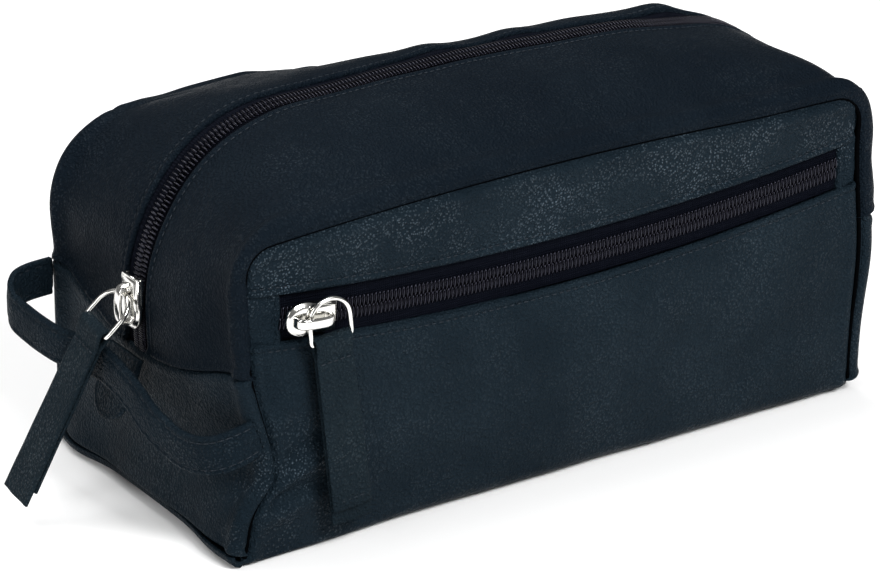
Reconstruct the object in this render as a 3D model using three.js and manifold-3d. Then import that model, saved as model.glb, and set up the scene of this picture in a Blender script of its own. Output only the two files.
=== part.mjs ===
// A soft leather shaving kit bag: a zipped main compartment, a zipped front pocket and a carry strap.
// Millimetres. +X runs along the length, the pocket faces -Y and +Z is up. The closed zips' sliders and
// the carry strap are at the -X end. The origin is the centre of the flat base, on the ground.
import * as THREE from "three";
import { mergeVertices } from "three/addons/utils/BufferGeometryUtils.js";
import Module from "manifold-3d";

const wasm = await Module();
wasm.setup();

// ---- driving dimensions -------------------------------------------------------------------------------

const HALF_DEPTH = 58; // from the middle to the front and back seams
const LEATHER = 1.6; // one layer of soft leather
const CLOTH = 0.6; // zip tape, lining and pocket cloth
const GAP = 0.3; // air between pieces that touch on the real bag

// The outline of the bag seen from the front, along the side seams and along the main zip. left and right
// are the ends, leftRise and rightRise the heights where the shoulder arcs start, and the slopes those of
// the top where it leaves the arcs.
const SEAM_OUTLINE = {
  left: -119,
  right: 119.5,
  leftRise: 96,
  rightRise: 95,
  leftRadius: 12,
  rightRadius: 13,
  leftSlope: 0.07,
  rightSlope: -0.08,
};
const BACK_SEAM_OUTLINE = { ...SEAM_OUTLINE, leftRise: 86, leftRadius: 22 };
const ZIP_OUTLINE = {
  left: -122,
  right: 124,
  leftRise: 70,
  rightRise: 91.5,
  leftRadius: 56,
  rightRadius: 30,
  leftSlope: 0.06,
  rightSlope: -0.12,
};
const ROOF_POWER = 2.5; // how full the roof is between the zip and the side seams

const BASE_TURN_UP = 4; // the base turns up this far at each end, to its seam with the end panel
const END_SEAM_MIDDLE = 53; // height of the end panels' upper seam under the zip
const END_SEAM_SIDE = 63; // and at the side seams

const PANEL_BULGE = 2.2; // how far the big panels stand out in their middles
const PINCH = 9; // how far the front left seam is folded in at its worst
const PINCH_HEIGHT = 29;
const CORNER = 2.2;
const SAG = 9; // how far the roof's back half has sunk, towards the right

// The zips: two rows of nylon coil sewn to woven tapes, with a gap between them for the slider's post.
const ROW_INNER = 0.7;
const ROW_OUTER = 3.9;
const ROW_PROUD = 0.6; // how far the coil stands out of the leather's face
const TAPE_DEPTH = LEATHER + GAP;
const LINING_DEPTH = TAPE_DEPTH + CLOTH + GAP;
const STRIP_FRONT_EDGE = -5.2; // edges of the leather beside the main zip
const STRIP_BACK_EDGE = 7.5;
const TAPE_REACH = 14;

// The pocket zip hangs in a long shallow arc, so its slider travels round a far centre.
const POCKET_ARC_X = -8;
const POCKET_ARC_LOW = 75.5;
const POCKET_ARC_RADIUS = 900;
const POCKET_SLIDER_X = -95.4;
const POCKET_LEFT = -104; // the end tabs' inner edges
const POCKET_RIGHT = 110;
const POCKET_HALF_OPENING = 8; // from the zip's middle down to the leather below it

// The mouth: the middle of each roof strip folds up about a line near its side seam.
const MOUTH_LEFT = -96;
const MOUTH_RIGHT = 100;
const MOUTH_HINGE_Y = 50;

// Sliders, rings and pulls, the same on both zips.
const SLIDER_LENGTH = 17.7;
const SLIDER_WIDTH = 12.2;
const SLIDER_TAIL_WIDTH = 9.6;
const WIRE = 0.8; // radius of the ring's wire
const RING_WIDTH = 14.4; // between the middles of its legs
const RING_HEIGHT = 14; // from the middle of the bow to the middle of the bar
const PULL_WIDTH = 12.8;
const PULL_LENGTH = 62;
const PULL_LAYER = 1.3;

const STRAP_WIDTH = 12.5;
const STRAP_THICKNESS = 2.4;

// ---- the bag's surface --------------------------------------------------------------------------------

const mix = (a, b, t) => a + (b - a) * t;
const degrees = THREE.MathUtils.degToRad;

// 1 at the main zip, 0 at the side seams.
const fullness = (y) => 1 - Math.min(1, Math.abs(y / HALF_DEPTH)) ** ROOF_POWER;

// The outline of a section at y, taken in by a depth below the surface.
function outlineAt(y, depth) {
  const f = fullness(y);
  const seam = y > 0 ? BACK_SEAM_OUTLINE : SEAM_OUTLINE;
  const at = (key) => mix(seam[key], ZIP_OUTLINE[key], f);
  return {
    left: at("left") + depth,
    right: at("right") - depth,
    leftRise: at("leftRise"),
    rightRise: at("rightRise"),
    leftRadius: at("leftRadius") - depth,
    rightRadius: at("rightRadius") - depth,
    leftSlope: at("leftSlope"),
    rightSlope: at("rightSlope"),
  };
}

// Height of the end panels' upper seam at y.
const endSeam = (y) => mix(END_SEAM_SIDE, END_SEAM_MIDDLE, fullness(y) ** 2);

// How far the front left seam is folded in at a height: sharply below, gently above.
function pinch(z) {
  const spread = z < PINCH_HEIGHT ? 9 : 27;
  return PINCH * Math.exp(-(((z - PINCH_HEIGHT) / spread) ** 2));
}
const pinchAcross = (y) => Math.max(0, -y / HALF_DEPTH) ** 3;

// How far the roof has sunk at a point.
const smooth = (v, from, to) => THREE.MathUtils.smoothstep(v, from, to);
const sag = (x, y, z) => SAG * smooth(x, -96, 40) * smooth(y, 14, 40) * smooth(z, 63, 100);

// How far the front right corner stands up and out at a point.
const corner = (x, y, z) => CORNER * smooth(x, 70, 116) * smooth(-y, 20, 54) * smooth(z, 75, 104);

// A cubic from one height and slope to another.
function cubic(x, x0, z0, slope0, x1, z1, slope1) {
  const w = x1 - x0;
  const t = (x - x0) / w;
  return (
    (1 + 2 * t) * (1 - t) ** 2 * z0 +
    t * (1 - t) ** 2 * w * slope0 +
    t * t * (3 - 2 * t) * z1 +
    t * t * (t - 1) * w * slope1
  );
}

// A point of the gusset before it sinks, which runs from the left end's seam (u = 0), round the left
// shoulder (1 to 2), along the top (2 to 3), round the right shoulder (3 to 4) and down to the right end's
// seam (5).
function fullSkin(u, y, depth) {
  const o = outlineAt(y, depth);
  const leftX = o.left + o.leftRadius;
  const rightX = o.right - o.rightRadius;
  const leftTurn = Math.PI / 2 - Math.atan(o.leftSlope);
  const rightTurn = Math.PI / 2 - Math.atan(-o.rightSlope);
  const leftEnd = [leftX - o.leftRadius * Math.cos(leftTurn), o.leftRise + o.leftRadius * Math.sin(leftTurn)];
  const rightEnd = [
    rightX + o.rightRadius * Math.cos(rightTurn),
    o.rightRise + o.rightRadius * Math.sin(rightTurn),
  ];
  if (u <= 1) {
    const z = mix(endSeam(y) + GAP, o.leftRise, u);
    return new THREE.Vector3(o.left + pinch(z) * pinchAcross(y), y, z);
  }
  if (u <= 2) {
    const turn = leftTurn * (u - 1);
    const z = o.leftRise + o.leftRadius * Math.sin(turn);
    return new THREE.Vector3(leftX - o.leftRadius * Math.cos(turn) + pinch(z) * pinchAcross(y), y, z);
  }
  if (u <= 3) {
    const x = mix(leftEnd[0], rightEnd[0], u - 2);
    return new THREE.Vector3(x, y, cubic(x, ...leftEnd, o.leftSlope, ...rightEnd, o.rightSlope));
  }
  if (u <= 4) {
    const turn = rightTurn * (4 - u);
    return new THREE.Vector3(
      rightX + o.rightRadius * Math.cos(turn),
      y,
      o.rightRise + o.rightRadius * Math.sin(turn),
    );
  }
  return new THREE.Vector3(o.right, y, mix(o.rightRise, endSeam(y) + GAP, u - 4));
}

function skin(u, y, depth) {
  const at = fullSkin(u, y, depth);
  const full = corner(at.x, y, at.z);
  return new THREE.Vector3(at.x + full * 0.6, y, at.z - sag(at.x, y, at.z) + full);
}

// The front and back panels stand out a little between heights low and high.
function bulge(x, z, low, high) {
  const across = 1 - Math.min(1, Math.abs(x) / 119) ** 4;
  const up = THREE.MathUtils.clamp((z - low) / (high - low), 0, 1);
  return PANEL_BULGE * across * Math.sin(Math.PI * up);
}

// Height of the pocket zip's middle at x.
function pocketMiddle(x) {
  const along = x - POCKET_ARC_X;
  return POCKET_ARC_LOW + POCKET_ARC_RADIUS - Math.sqrt(POCKET_ARC_RADIUS ** 2 - along ** 2);
}
const pocketSill = (x) => pocketMiddle(x) - POCKET_HALF_OPENING; // upper edge of the panel below the zip
const pocketTop = (x) => 83.6 + (x + 5) ** 2 / 2000; // lower edge of the strip above it

// ---- making solids ------------------------------------------------------------------------------------

// A three.js geometry as a manifold solid, turned right way out.
function solidOf(geometry, place) {
  const bare = geometry.clone();
  bare.deleteAttribute("normal");
  bare.deleteAttribute("uv");
  if (place) bare.applyMatrix4(place);
  const merged = mergeVertices(bare, 1e-4);
  const triVerts = new Uint32Array(merged.index.array);
  const vertProperties = new Float32Array(merged.attributes.position.array);
  const make = () => new wasm.Manifold(new wasm.Mesh({ numProp: 3, vertProperties, triVerts }));
  const solid = make();
  if (solid.volume() > 0) return solid;
  for (let i = 0; i < triVerts.length; i += 3) {
    [triVerts[i + 1], triVerts[i + 2]] = [triVerts[i + 2], triVerts[i + 1]];
  }
  return make();
}

// A sheet: a flat box with columns and rows whose points are then put where place(a, b, c) says, with a
// along it, b across it and c through its thickness, each from 0 to 1.
function sheet(columns, rows, place) {
  const box = new THREE.BoxGeometry(1, 1, 1, columns, rows, 1);
  const p = box.attributes.position;
  for (let i = 0; i < p.count; i++) {
    const at = place(p.getX(i) + 0.5, p.getY(i) + 0.5, p.getZ(i) + 0.5);
    p.setXYZ(i, at.x, at.y, at.z);
  }
  return solidOf(box);
}

// A box between two corners.
function block(low, high) {
  const size = high.map((v, i) => v - low[i]);
  const middle = high.map((v, i) => (v + low[i]) / 2);
  return solidOf(new THREE.BoxGeometry(...size), new THREE.Matrix4().makeTranslation(...middle));
}

// An outline in the XY plane, thickened along Z from z0 to z1.
function slab(shape, z0, z1, curveSegments = 8) {
  const geometry = new THREE.ExtrudeGeometry(shape, { depth: z1 - z0, bevelEnabled: false, curveSegments });
  return solidOf(geometry, new THREE.Matrix4().makeTranslation(0, 0, z0));
}

const group = new THREE.Group();

const leather = new THREE.MeshStandardMaterial({ color: 0x191e26, roughness: 0.5, metalness: 0 });
const cloth = new THREE.MeshStandardMaterial({ color: 0x14141a, roughness: 0.9, metalness: 0 });
const nylon = new THREE.MeshStandardMaterial({ color: 0x1b1820, roughness: 0.35, metalness: 0 });
const lining = new THREE.MeshStandardMaterial({ color: 0x22242a, roughness: 0.85, metalness: 0 });
const nickel = new THREE.MeshStandardMaterial({ color: 0xcfd0cd, roughness: 0.2, metalness: 1 });

function add(name, solid, material) {
  const { numProp, vertProperties, triVerts } = solid.getMesh();
  const geometry = new THREE.BufferGeometry();
  const points = new Float32Array((vertProperties.length / numProp) * 3);
  for (let i = 0; i * numProp < vertProperties.length; i++) {
    points.set(vertProperties.subarray(i * numProp, i * numProp + 3), i * 3);
  }
  geometry.setAttribute("position", new THREE.BufferAttribute(points, 3));
  geometry.setIndex(new THREE.BufferAttribute(new Uint32Array(triVerts), 1));
  geometry.computeVertexNormals();
  const mesh = new THREE.Mesh(geometry, material.clone());
  mesh.name = name;
  group.add(mesh);
}

// ---- big panels ---------------------------------------------------------------------------------------

// Columns of the front and back panels: where the seam's outline is at a, from 0 at the left to 1.
const seamTop = (a, side) => skin(1 + 3 * a, side * HALF_DEPTH, 0);

function frontLowerPanel() {
  return sheet(16, 8, (a, b, c) => {
    const straight = mix(SEAM_OUTLINE.left, SEAM_OUTLINE.right, a);
    const z = pocketSill(straight) * b;
    const x = mix(SEAM_OUTLINE.left + pinch(z), SEAM_OUTLINE.right, a);
    return new THREE.Vector3(x, -HALF_DEPTH - bulge(x, z, 0, 70) + LEATHER * c, z);
  });
}

function frontUpperStrip() {
  return sheet(22, 3, (a, b, c) => {
    const top = seamTop(a, -1);
    const z = mix(pocketTop(top.x), top.z, b);
    return new THREE.Vector3(top.x, -HALF_DEPTH - bulge(top.x, z, pocketTop(top.x), 112) / 2 + LEATHER * c, z);
  });
}

function backPanel() {
  return sheet(22, 8, (a, b, c) => {
    const top = seamTop(a, 1);
    const z = top.z * b;
    return new THREE.Vector3(top.x, HALF_DEPTH + bulge(top.x, z, 0, 112) - LEATHER * c, z);
  });
}

// The inside of the front and back panels, where the gusset, ends and base stop.
const GUSSET_EDGE = HALF_DEPTH - LEATHER - 0.5;

// The base is a sheet whose two ends turn up to their seams.
function basePanel(depth0, depth1, edge) {
  const half = 120;
  return sheet(16, 1, (a, b, c) => {
    const depth = mix(depth0, depth1, c);
    const y = mix(-edge, edge, b);
    const turned = THREE.MathUtils.clamp(Math.min(a, 1 - a) * 4, 0, 1);
    const angle = (Math.PI / 2) * (1 - turned);
    const radius = BASE_TURN_UP - depth;
    const reach = half - BASE_TURN_UP + radius * Math.sin(angle);
    const flat = a > 0.25 && a < 0.75;
    const x = flat ? mix(-1, 1, (a - 0.25) * 2) * (half - BASE_TURN_UP) : Math.sign(a - 0.5) * reach;
    const z = flat ? depth : BASE_TURN_UP - radius * Math.cos(angle);
    return new THREE.Vector3(x, y, z);
  });
}

function endPanel(side) {
  return sheet(10, 6, (a, b, c) => {
    const y = mix(-GUSSET_EDGE, GUSSET_EDGE, a);
    const z = mix(BASE_TURN_UP + GAP, endSeam(y) - GAP, b);
    const o = outlineAt(y, LEATHER * c);
    const x = side < 0 ? o.left + pinch(z) * pinchAcross(y) : o.right;
    return new THREE.Vector3(x, y, z);
  });
}

// ---- the roof, its zip and its lining -----------------------------------------------------------------

// A band of the gusset between y0 and y1 and between two depths, the whole way from seam to seam.
const steps = (from, to, count) => Array.from({ length: count }, (_, i) => mix(from, to, i / count));
const BAND_STOPS = [0, ...steps(1, 2, 7), ...steps(2, 3, 6), ...steps(3, 4, 5), 4, 5];
function band(y0, y1, depth0, depth1, rows = 1) {
  const last = BAND_STOPS.length - 1;
  return sheet(last, rows, (a, b, c) => {
    const u = BAND_STOPS[Math.round(a * last)];
    return skin(u, mix(y0, y1, b), mix(depth0, depth1, c));
  });
}

// The part of a solid over the mouth, which folds up, and the two end parts, which don't.
const FAR = 200;
const mouthPart = (solid) =>
  solid.intersect(block([MOUTH_LEFT + GAP / 2, -FAR, 90], [MOUTH_RIGHT - GAP / 2, FAR, FAR]));
const leftPart = (solid) => solid.intersect(block([-FAR, -FAR, 0], [MOUTH_LEFT - GAP / 2, FAR, FAR]));
const rightPart = (solid) => solid.intersect(block([MOUTH_RIGHT + GAP / 2, -FAR, 0], [FAR, FAR, FAR]));

// The folding middle of a roof strip, from its fold line to the edge beside the zip.
const roofFlap = (side, edge) => mouthPart(band(side * MOUTH_HINGE_Y, edge, 0, LEATHER, 6));

// The rest of the strip: both shoulders and ends, and the rim along the side seam.
function roofFrame(side, edge) {
  const whole = band(side * GUSSET_EDGE, edge, 0, LEATHER, 7);
  const inner = side * (MOUTH_HINGE_Y + 2 * GAP);
  const low = [MOUTH_LEFT - GAP / 2, Math.min(inner, 0), 90];
  const high = [MOUTH_RIGHT + GAP / 2, Math.max(inner, 0), FAR];
  return whole.subtract(block(low, high));
}

function roofAndZip() {
  for (const [where, side, edge] of [
    ["front", -1, STRIP_FRONT_EDGE],
    ["back", 1, STRIP_BACK_EDGE],
  ]) {
    add(`roof_strip_${where}`, roofFrame(side, edge), leather);
    add(`roof_flap_${where}`, roofFlap(side, edge), leather);
    const tape = band(side * ROW_INNER, side * TAPE_REACH, TAPE_DEPTH, TAPE_DEPTH + CLOTH);
    const row = band(side * ROW_INNER, side * ROW_OUTER, -ROW_PROUD, LEATHER - 0.1);
    const inner = band(side * 9, side * (MOUTH_HINGE_Y - 4), LINING_DEPTH, LINING_DEPTH + CLOTH, 5);
    for (const [part, cut] of [
      ["left", leftPart],
      ["middle", mouthPart],
      ["right", rightPart],
    ]) {
      add(`zip_tape_${where}_${part}`, cut(tape), cloth);
      add(`zip_coil_${where}_${part}`, cut(row), nylon);
    }
    add(`lining_flap_${where}`, mouthPart(inner), lining);
  }
}

// The tab sewn under the zip's lower end hangs out from the end panel, half round at its tip.
const TAB_WIDTH = 20;
const TAB_LENGTH = 23;
const TAB_LEAN = 22; // degrees out from the end panel
function zipEndTab() {
  const half = TAB_WIDTH / 2;
  const shape = new THREE.Shape();
  shape.moveTo(-half, 0);
  shape.lineTo(-half, half - TAB_LENGTH);
  shape.absarc(0, half - TAB_LENGTH, half, Math.PI, 2 * Math.PI);
  shape.lineTo(half, 0);
  const place = new THREE.Matrix4()
    .makeTranslation(ZIP_OUTLINE.left - 2.2, 3, END_SEAM_MIDDLE - 1)
    .multiply(new THREE.Matrix4().makeRotationY(degrees(TAB_LEAN)))
    .multiply(new THREE.Matrix4().makeRotationZ(-Math.PI / 2))
    .multiply(new THREE.Matrix4().makeRotationX(Math.PI / 2));
  return solidOf(
    new THREE.ExtrudeGeometry(shape, { depth: 1.8, bevelEnabled: false, curveSegments: 10 }),
    place,
  );
}

// ---- the front pocket ---------------------------------------------------------------------------------

// A band beside the pocket zip, between heights low(x) and high(x).
function pocketBand(x0, x1, low, high, depth0, depth1, columns = 16) {
  return sheet(columns, 1, (a, b, c) => {
    const x = mix(x0, x1, a);
    return new THREE.Vector3(x, -HALF_DEPTH + mix(depth0, depth1, c), mix(low(x), high(x), b));
  });
}

const above = (distance) => (x) => pocketMiddle(x) + distance;

function pocket() {
  const tabs = [
    ["pocket_tab_left", SEAM_OUTLINE.left + 1, POCKET_LEFT],
    ["pocket_tab_right", POCKET_RIGHT, SEAM_OUTLINE.right - 0.5],
  ];
  for (const [name, x0, x1] of tabs) {
    const top = (x) => pocketTop(x) - GAP;
    add(name, pocketBand(x0, x1, (x) => pocketSill(x) + GAP, top, 0, LEATHER, 3), leather);
  }
  const x0 = POCKET_LEFT - 10;
  const x1 = POCKET_RIGHT + 6;
  const tape = (low, high) => pocketBand(x0, x1, low, high, TAPE_DEPTH, TAPE_DEPTH + CLOTH);
  const tapeTop = (x) => pocketTop(x) + 5;
  add("pocket_tape_upper", tape(above(ROW_INNER), tapeTop), cloth);
  add("pocket_tape_lower", tape(above(-TAPE_REACH), above(-ROW_INNER)), cloth);
  const coil = [POCKET_LEFT + GAP, POCKET_RIGHT - GAP];
  add("pocket_coil_upper", pocketBand(...coil, above(ROW_INNER), above(ROW_OUTER), -ROW_PROUD, 1.5), nylon);
  add("pocket_coil_lower", pocketBand(...coil, above(-ROW_OUTER), above(-ROW_INNER), -ROW_PROUD, 1.5), nylon);

  // The pocket's cloth bag: a flat pouch behind the front panel, open at the zip.
  const y = -HALF_DEPTH;
  const outside = block([-104, y + 2.8, 14], [104, y + 6.6, 96]);
  const inside = block([-104 + CLOTH, y + 2.8 + CLOTH, 14 + CLOTH], [104 - CLOTH, y + 6.6 - CLOTH, FAR]);
  const mouth = block([-FAR, y, 56], [FAR, y + 6.6 - CLOTH, FAR]);
  add("pocket_bag", outside.subtract(inside).subtract(mouth), lining);
}

// ---- lining -------------------------------------------------------------------------------------------

function linings() {
  const front = -HALF_DEPTH + 7.2;
  add("lining_front", block([-108, front, 3.4], [108, front + CLOTH, 100]), lining);
  const back = HALF_DEPTH - 3;
  add("lining_back", block([-108, back - CLOTH, 3.4], [108, back, 88]), lining);
  // One strip over the base and up both ends, to just under the zip's ends.
  const inset = 5.4;
  const left = SEAM_OUTLINE.left + inset + PINCH * 0.75;
  const right = SEAM_OUTLINE.right - inset;
  const y0 = front + CLOTH + GAP;
  const y1 = back - CLOTH - GAP;
  const whole = block([left, y0, LEATHER + GAP], [right, y1, END_SEAM_MIDDLE - 2]);
  const hollow = block([left + CLOTH, -FAR, LEATHER + GAP + CLOTH], [right - CLOTH, FAR, FAR]);
  add("lining_base", whole.subtract(hollow), lining);
}

// ---- sliders, rings and pulls -------------------------------------------------------------------------
// Each is made lying flat: the zip's face is the XY plane at z = 0, +Z is out of the bag and +X points
// from the slider's round nose to its tail.

// Heights over the leather's face.
const TOP_PLATE = [1.5, 3.1];
const BRIDGE_HOLE = 6.2;
const BRIDGE_TOP = 7.4;
const BRIDGE_HALF_WIDTH = 1.6;
const BRIDGE_REACH = 6.4; // from the slider's middle to each end of the bridge
const BRIDGE_LEG = 1.8;
const HOLE_MIDDLE = (TOP_PLATE[1] + BRIDGE_HOLE) / 2;
const BOTTOM_PLATE = [-4.9, -3.5];
const INTO = 0.4; // how far joined parts of the slider run into each other

function slider() {
  const half = SLIDER_LENGTH / 2;
  const wide = SLIDER_WIDTH / 2;
  const tail = SLIDER_TAIL_WIDTH / 2;
  const plate = new THREE.Shape();
  plate.moveTo(half, -tail);
  plate.lineTo(half, tail);
  plate.lineTo(0.5, tail);
  plate.bezierCurveTo(-1.5, wide, -half, wide, -half, 0);
  plate.bezierCurveTo(-half, -wide, -1.5, -wide, 0.5, -tail);
  const under = new THREE.Shape();
  under.moveTo(half - 2, -tail);
  under.lineTo(half - 2, tail);
  under.lineTo(-3, tail);
  under.lineTo(-half + 2.2, 0);
  under.lineTo(-3, -tail);
  const post = block([-half + 2.6, -0.35, BOTTOM_PLATE[0] + INTO], [-half + 6, 0.35, TOP_PLATE[1] - INTO]);
  const bridgePart = (x0, x1, z0, z1) => block([x0, -BRIDGE_HALF_WIDTH, z0], [x1, BRIDGE_HALF_WIDTH, z1]);
  const bar = bridgePart(-BRIDGE_REACH, BRIDGE_REACH, BRIDGE_HOLE, BRIDGE_TOP);
  const legs = [-BRIDGE_REACH, BRIDGE_REACH - BRIDGE_LEG].map((x) =>
    bridgePart(x, x + BRIDGE_LEG, TOP_PLATE[1] - INTO, BRIDGE_HOLE + INTO),
  );
  const top = slab(plate, ...TOP_PLATE, 7);
  return [slab(under, ...BOTTOM_PLATE), post, bar, ...legs].reduce((a, b) => a.add(b), top);
}

// A tube of round wire along a curve.
function wire(curve, steps) {
  const section = new THREE.Shape();
  section.absarc(0, 0, WIRE, 0, 2 * Math.PI);
  const options = { steps, bevelEnabled: false, extrudePath: curve, curveSegments: 4 };
  return solidOf(new THREE.ExtrudeGeometry(section, options));
}

// The ring: a round bow, two legs and a straight bar. Its plane is XY, the middle of the bow is at the
// origin and the bar lies across at x = RING_HEIGHT.
function ring() {
  const half = RING_WIDTH / 2;
  const path = new THREE.CurvePath();
  const corner = (x, y) => new THREE.Vector3(x, y, 0);
  path.add(new THREE.LineCurve3(corner(RING_HEIGHT, -half), corner(half, -half)));
  path.add(
    new THREE.CatmullRomCurve3(
      [-90, -60, -30, 0, 30, 60, 90].map((turn) =>
        corner(half * (1 - Math.cos(degrees(turn))), half * Math.sin(degrees(turn))),
      ),
    ),
  );
  path.add(new THREE.LineCurve3(corner(half, half), corner(RING_HEIGHT, half)));
  const bar = new THREE.LineCurve3(corner(RING_HEIGHT, -half - WIRE), corner(RING_HEIGHT, half + WIRE));
  return wire(path, 26).add(wire(bar, 1));
}

// The pull: a leather strip folded round the bar, whose middle is the origin. It hangs along +X.
function pull() {
  const eye = WIRE + GAP;
  const outer = eye + PULL_LAYER;
  const fold = new THREE.Shape();
  fold.absarc(0, 0, outer, degrees(60), degrees(300));
  fold.lineTo(6, -PULL_LAYER);
  fold.lineTo(PULL_LENGTH, -PULL_LAYER);
  fold.lineTo(PULL_LENGTH, 0);
  fold.lineTo(PULL_LENGTH - 5, 0);
  fold.lineTo(PULL_LENGTH - 5, PULL_LAYER);
  fold.lineTo(6, PULL_LAYER);
  const hole = new THREE.Path();
  hole.absarc(0, 0, eye, 0, 2 * Math.PI, true);
  fold.holes.push(hole);
  const half = PULL_WIDTH / 2;
  return slab(fold, -half, half, 6).transform(new THREE.Matrix4().makeRotationX(Math.PI / 2).elements);
}

// Where a direction's X, Y and Z axes point, and where its origin is.
function placed(x, y, z, origin) {
  const v = (a) => new THREE.Vector3(...a).normalize();
  return new THREE.Matrix4().makeBasis(v(x), v(y), v(z)).setPosition(...origin);
}
const put = (solid, matrix) => solid.transform(matrix.elements);

// The main slider sits at the foot of the left shoulder, nose down. Its ring hangs out and down over the
// strap, and the pull hangs from the ring.
const RING_DROP = 45; // degrees below level
const MAIN_PULL_LEAN = 23.4; // degrees out from straight down
const MAIN_ROLL = 10; // degrees that the ring and the pull are turned, their back edges up
const MAIN_BOW_ABOVE = 3.3; // how far the ring's bow lies above the slider's middle
function mainSlider() {
  const face = ZIP_OUTLINE.left;
  const middle = ZIP_OUTLINE.leftRise;
  add("main_slider", put(slider(), placed([0, 0, 1], [0, 1, 0], [-1, 0, 0], [face, 0, middle])), nickel);
  const roll = degrees(MAIN_ROLL);
  const across = new THREE.Vector3(0, Math.cos(roll), Math.sin(roll));
  // A direction at right angles to across, this many degrees below level.
  const below = (angle) =>
    new THREE.Vector3(
      -Math.cos(angle),
      Math.sin(angle) * Math.sin(roll),
      -Math.sin(angle) * Math.cos(roll),
    );
  const out = below(degrees(RING_DROP));
  const bow = new THREE.Vector3(face - HOLE_MIDDLE, 0, middle + MAIN_BOW_ABOVE);
  const ringFace = new THREE.Vector3().crossVectors(out, across);
  add("main_ring", put(ring(), placed(out, across, ringFace, bow)), nickel);
  const down = below(degrees(90 - MAIN_PULL_LEAN));
  const bar = bow.clone().addScaledVector(out, RING_HEIGHT);
  const pullFace = new THREE.Vector3().crossVectors(down, across);
  add("main_pull", put(pull(), placed(down, across, pullFace, bar)), leather);
}

// The pocket slider lies along its zip, nose to the left. One leg of its ring stands in the bridge, and
// the ring and pull hang flat on the panel.
const POCKET_PULL_TILT = 5; // degrees towards the right
const POCKET_PULL_LEAN = 2.6; // degrees out from the panel
const POCKET_BOW_ABOVE = 5.5; // how far the ring's bow stands above the bridge
const POCKET_BOW_ACROSS = 6.9; // and the ring's middle to the right of the leg in the bridge
const POCKET_LEG_LEFT = 1.6; // how far the leg is from the slider's middle
function pocketSlider() {
  const middle = pocketMiddle(POCKET_SLIDER_X);
  const turn = Math.asin((POCKET_SLIDER_X - POCKET_ARC_X) / POCKET_ARC_RADIUS);
  const along = [Math.cos(turn), 0, Math.sin(turn)];
  const up = [-Math.sin(turn), 0, Math.cos(turn)];
  const seat = [POCKET_SLIDER_X, -HALF_DEPTH, middle];
  add("pocket_slider", put(slider(), placed(along, up, [0, -1, 0], seat)), nickel);
  const tilt = degrees(POCKET_PULL_TILT);
  const lean = degrees(POCKET_PULL_LEAN);
  const hang = new THREE.Vector3(Math.sin(tilt), 0, -Math.cos(tilt));
  const across = new THREE.Vector3(Math.cos(tilt), 0, Math.sin(tilt));
  // The left leg's line passes through the middle of the bridge.
  const leg = new THREE.Vector3(POCKET_SLIDER_X - POCKET_LEG_LEFT, -HALF_DEPTH - HOLE_MIDDLE, middle);
  const bow = leg.clone().addScaledVector(hang, -POCKET_BOW_ABOVE).addScaledVector(across, POCKET_BOW_ACROSS);
  add("pocket_ring", put(ring(), placed(hang, across, [0, -1, 0], bow)), nickel);
  const bar = bow.clone().addScaledVector(hang, RING_HEIGHT);
  const down = hang.clone().add(new THREE.Vector3(0, -Math.sin(lean), 0)).normalize();
  const out = new THREE.Vector3().crossVectors(down, across).normalize();
  add("pocket_pull", put(pull(), placed(down, across, out, bar)), leather);
}

// ---- the carry strap ----------------------------------------------------------------------------------

// The middle of the strap, from the front seam, out and down, past the zip and back to the back seam.
const STRAP_MIDDLE = [
  [-113.4, -58, 43.8],
  [-118.5, -57.6, 42],
  [-123, -55.6, 39.9],
  [-126.6, -52, 38],
  [-129, -47, 36.9],
  [-130.6, -41, 36.8],
  [-131.8, -34, 38.2],
  [-133.4, -26, 41.6],
  [-134.4, -16, 47.6],
  [-135, -2, 51.2],
  [-136.3, 8, 51.6],
  [-141.4, 20, 52.6],
  [-144.2, 35, 55.3],
  [-144.2, 43, 57.2],
  [-139.4, 50.3, 58.8],
  [-132.6, 54.5, 58.8],
  [-122, 56.3, 58.5],
];

function carryStrap() {
  const curve = new THREE.CatmullRomCurve3(STRAP_MIDDLE.map((p) => new THREE.Vector3(...p)));
  const length = curve.getLength();
  const ends = [1.2 / length, 1 - 1.2 / length];
  const radius = STRAP_WIDTH / 2;
  const nearEnd = [0, 0.05, 0.2, 0.5]; // of the round end's radius
  const round = radius / length;
  const columns = [
    ...nearEnd.map((n) => ends[0] + n * round),
    ...steps(ends[0] + round, ends[1] - round, 28),
    ...[1, ...nearEnd.toReversed()].map((n) => ends[1] - n * round),
  ];
  const last = columns.length - 1;
  return sheet(last, 1, (a, b, c) => {
    const u = columns[Math.round(a * last)];
    const at = curve.getPointAt(u);
    const along = curve.getTangentAt(u);
    const wide = new THREE.Vector3(0, 0, 1).addScaledVector(along, -along.z).normalize();
    const thick = new THREE.Vector3().crossVectors(along, wide);
    const fromEnd = Math.min(u - ends[0], ends[1] - u) * length;
    const short = Math.max(0, radius - fromEnd);
    const half = Math.max(0.9, Math.sqrt(Math.max(0, radius ** 2 - short ** 2)));
    return at.addScaledVector(wide, half * (2 * b - 1)).addScaledVector(thick, STRAP_THICKNESS * (c - 0.5));
  });
}

// ---- the whole bag ------------------------------------------------------------------------------------

add("front_lower_panel", frontLowerPanel(), leather);
add("front_upper_strip", frontUpperStrip(), leather);
add("back_panel", backPanel(), leather);
add("base_panel", basePanel(0, LEATHER, GUSSET_EDGE), leather);
add("end_panel_left", endPanel(-1), leather);
add("end_panel_right", endPanel(1), leather);
roofAndZip();
add("zip_end_tab", zipEndTab(), leather);
pocket();
linings();
mainSlider();
pocketSlider();
add("carry_strap", carryStrap(), leather);

export default group;
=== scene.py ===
# A soft leather shaving kit bag. Shapes are worked out in millimetres and scaled to metres as each
# piece is made. +X runs along the length, the pocket faces -Y and +Z is up.
from math import asin, atan, copysign, cos, exp, pi, radians, sin, sqrt

import bmesh
import bpy
from mathutils import Matrix, Vector, noise


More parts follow.
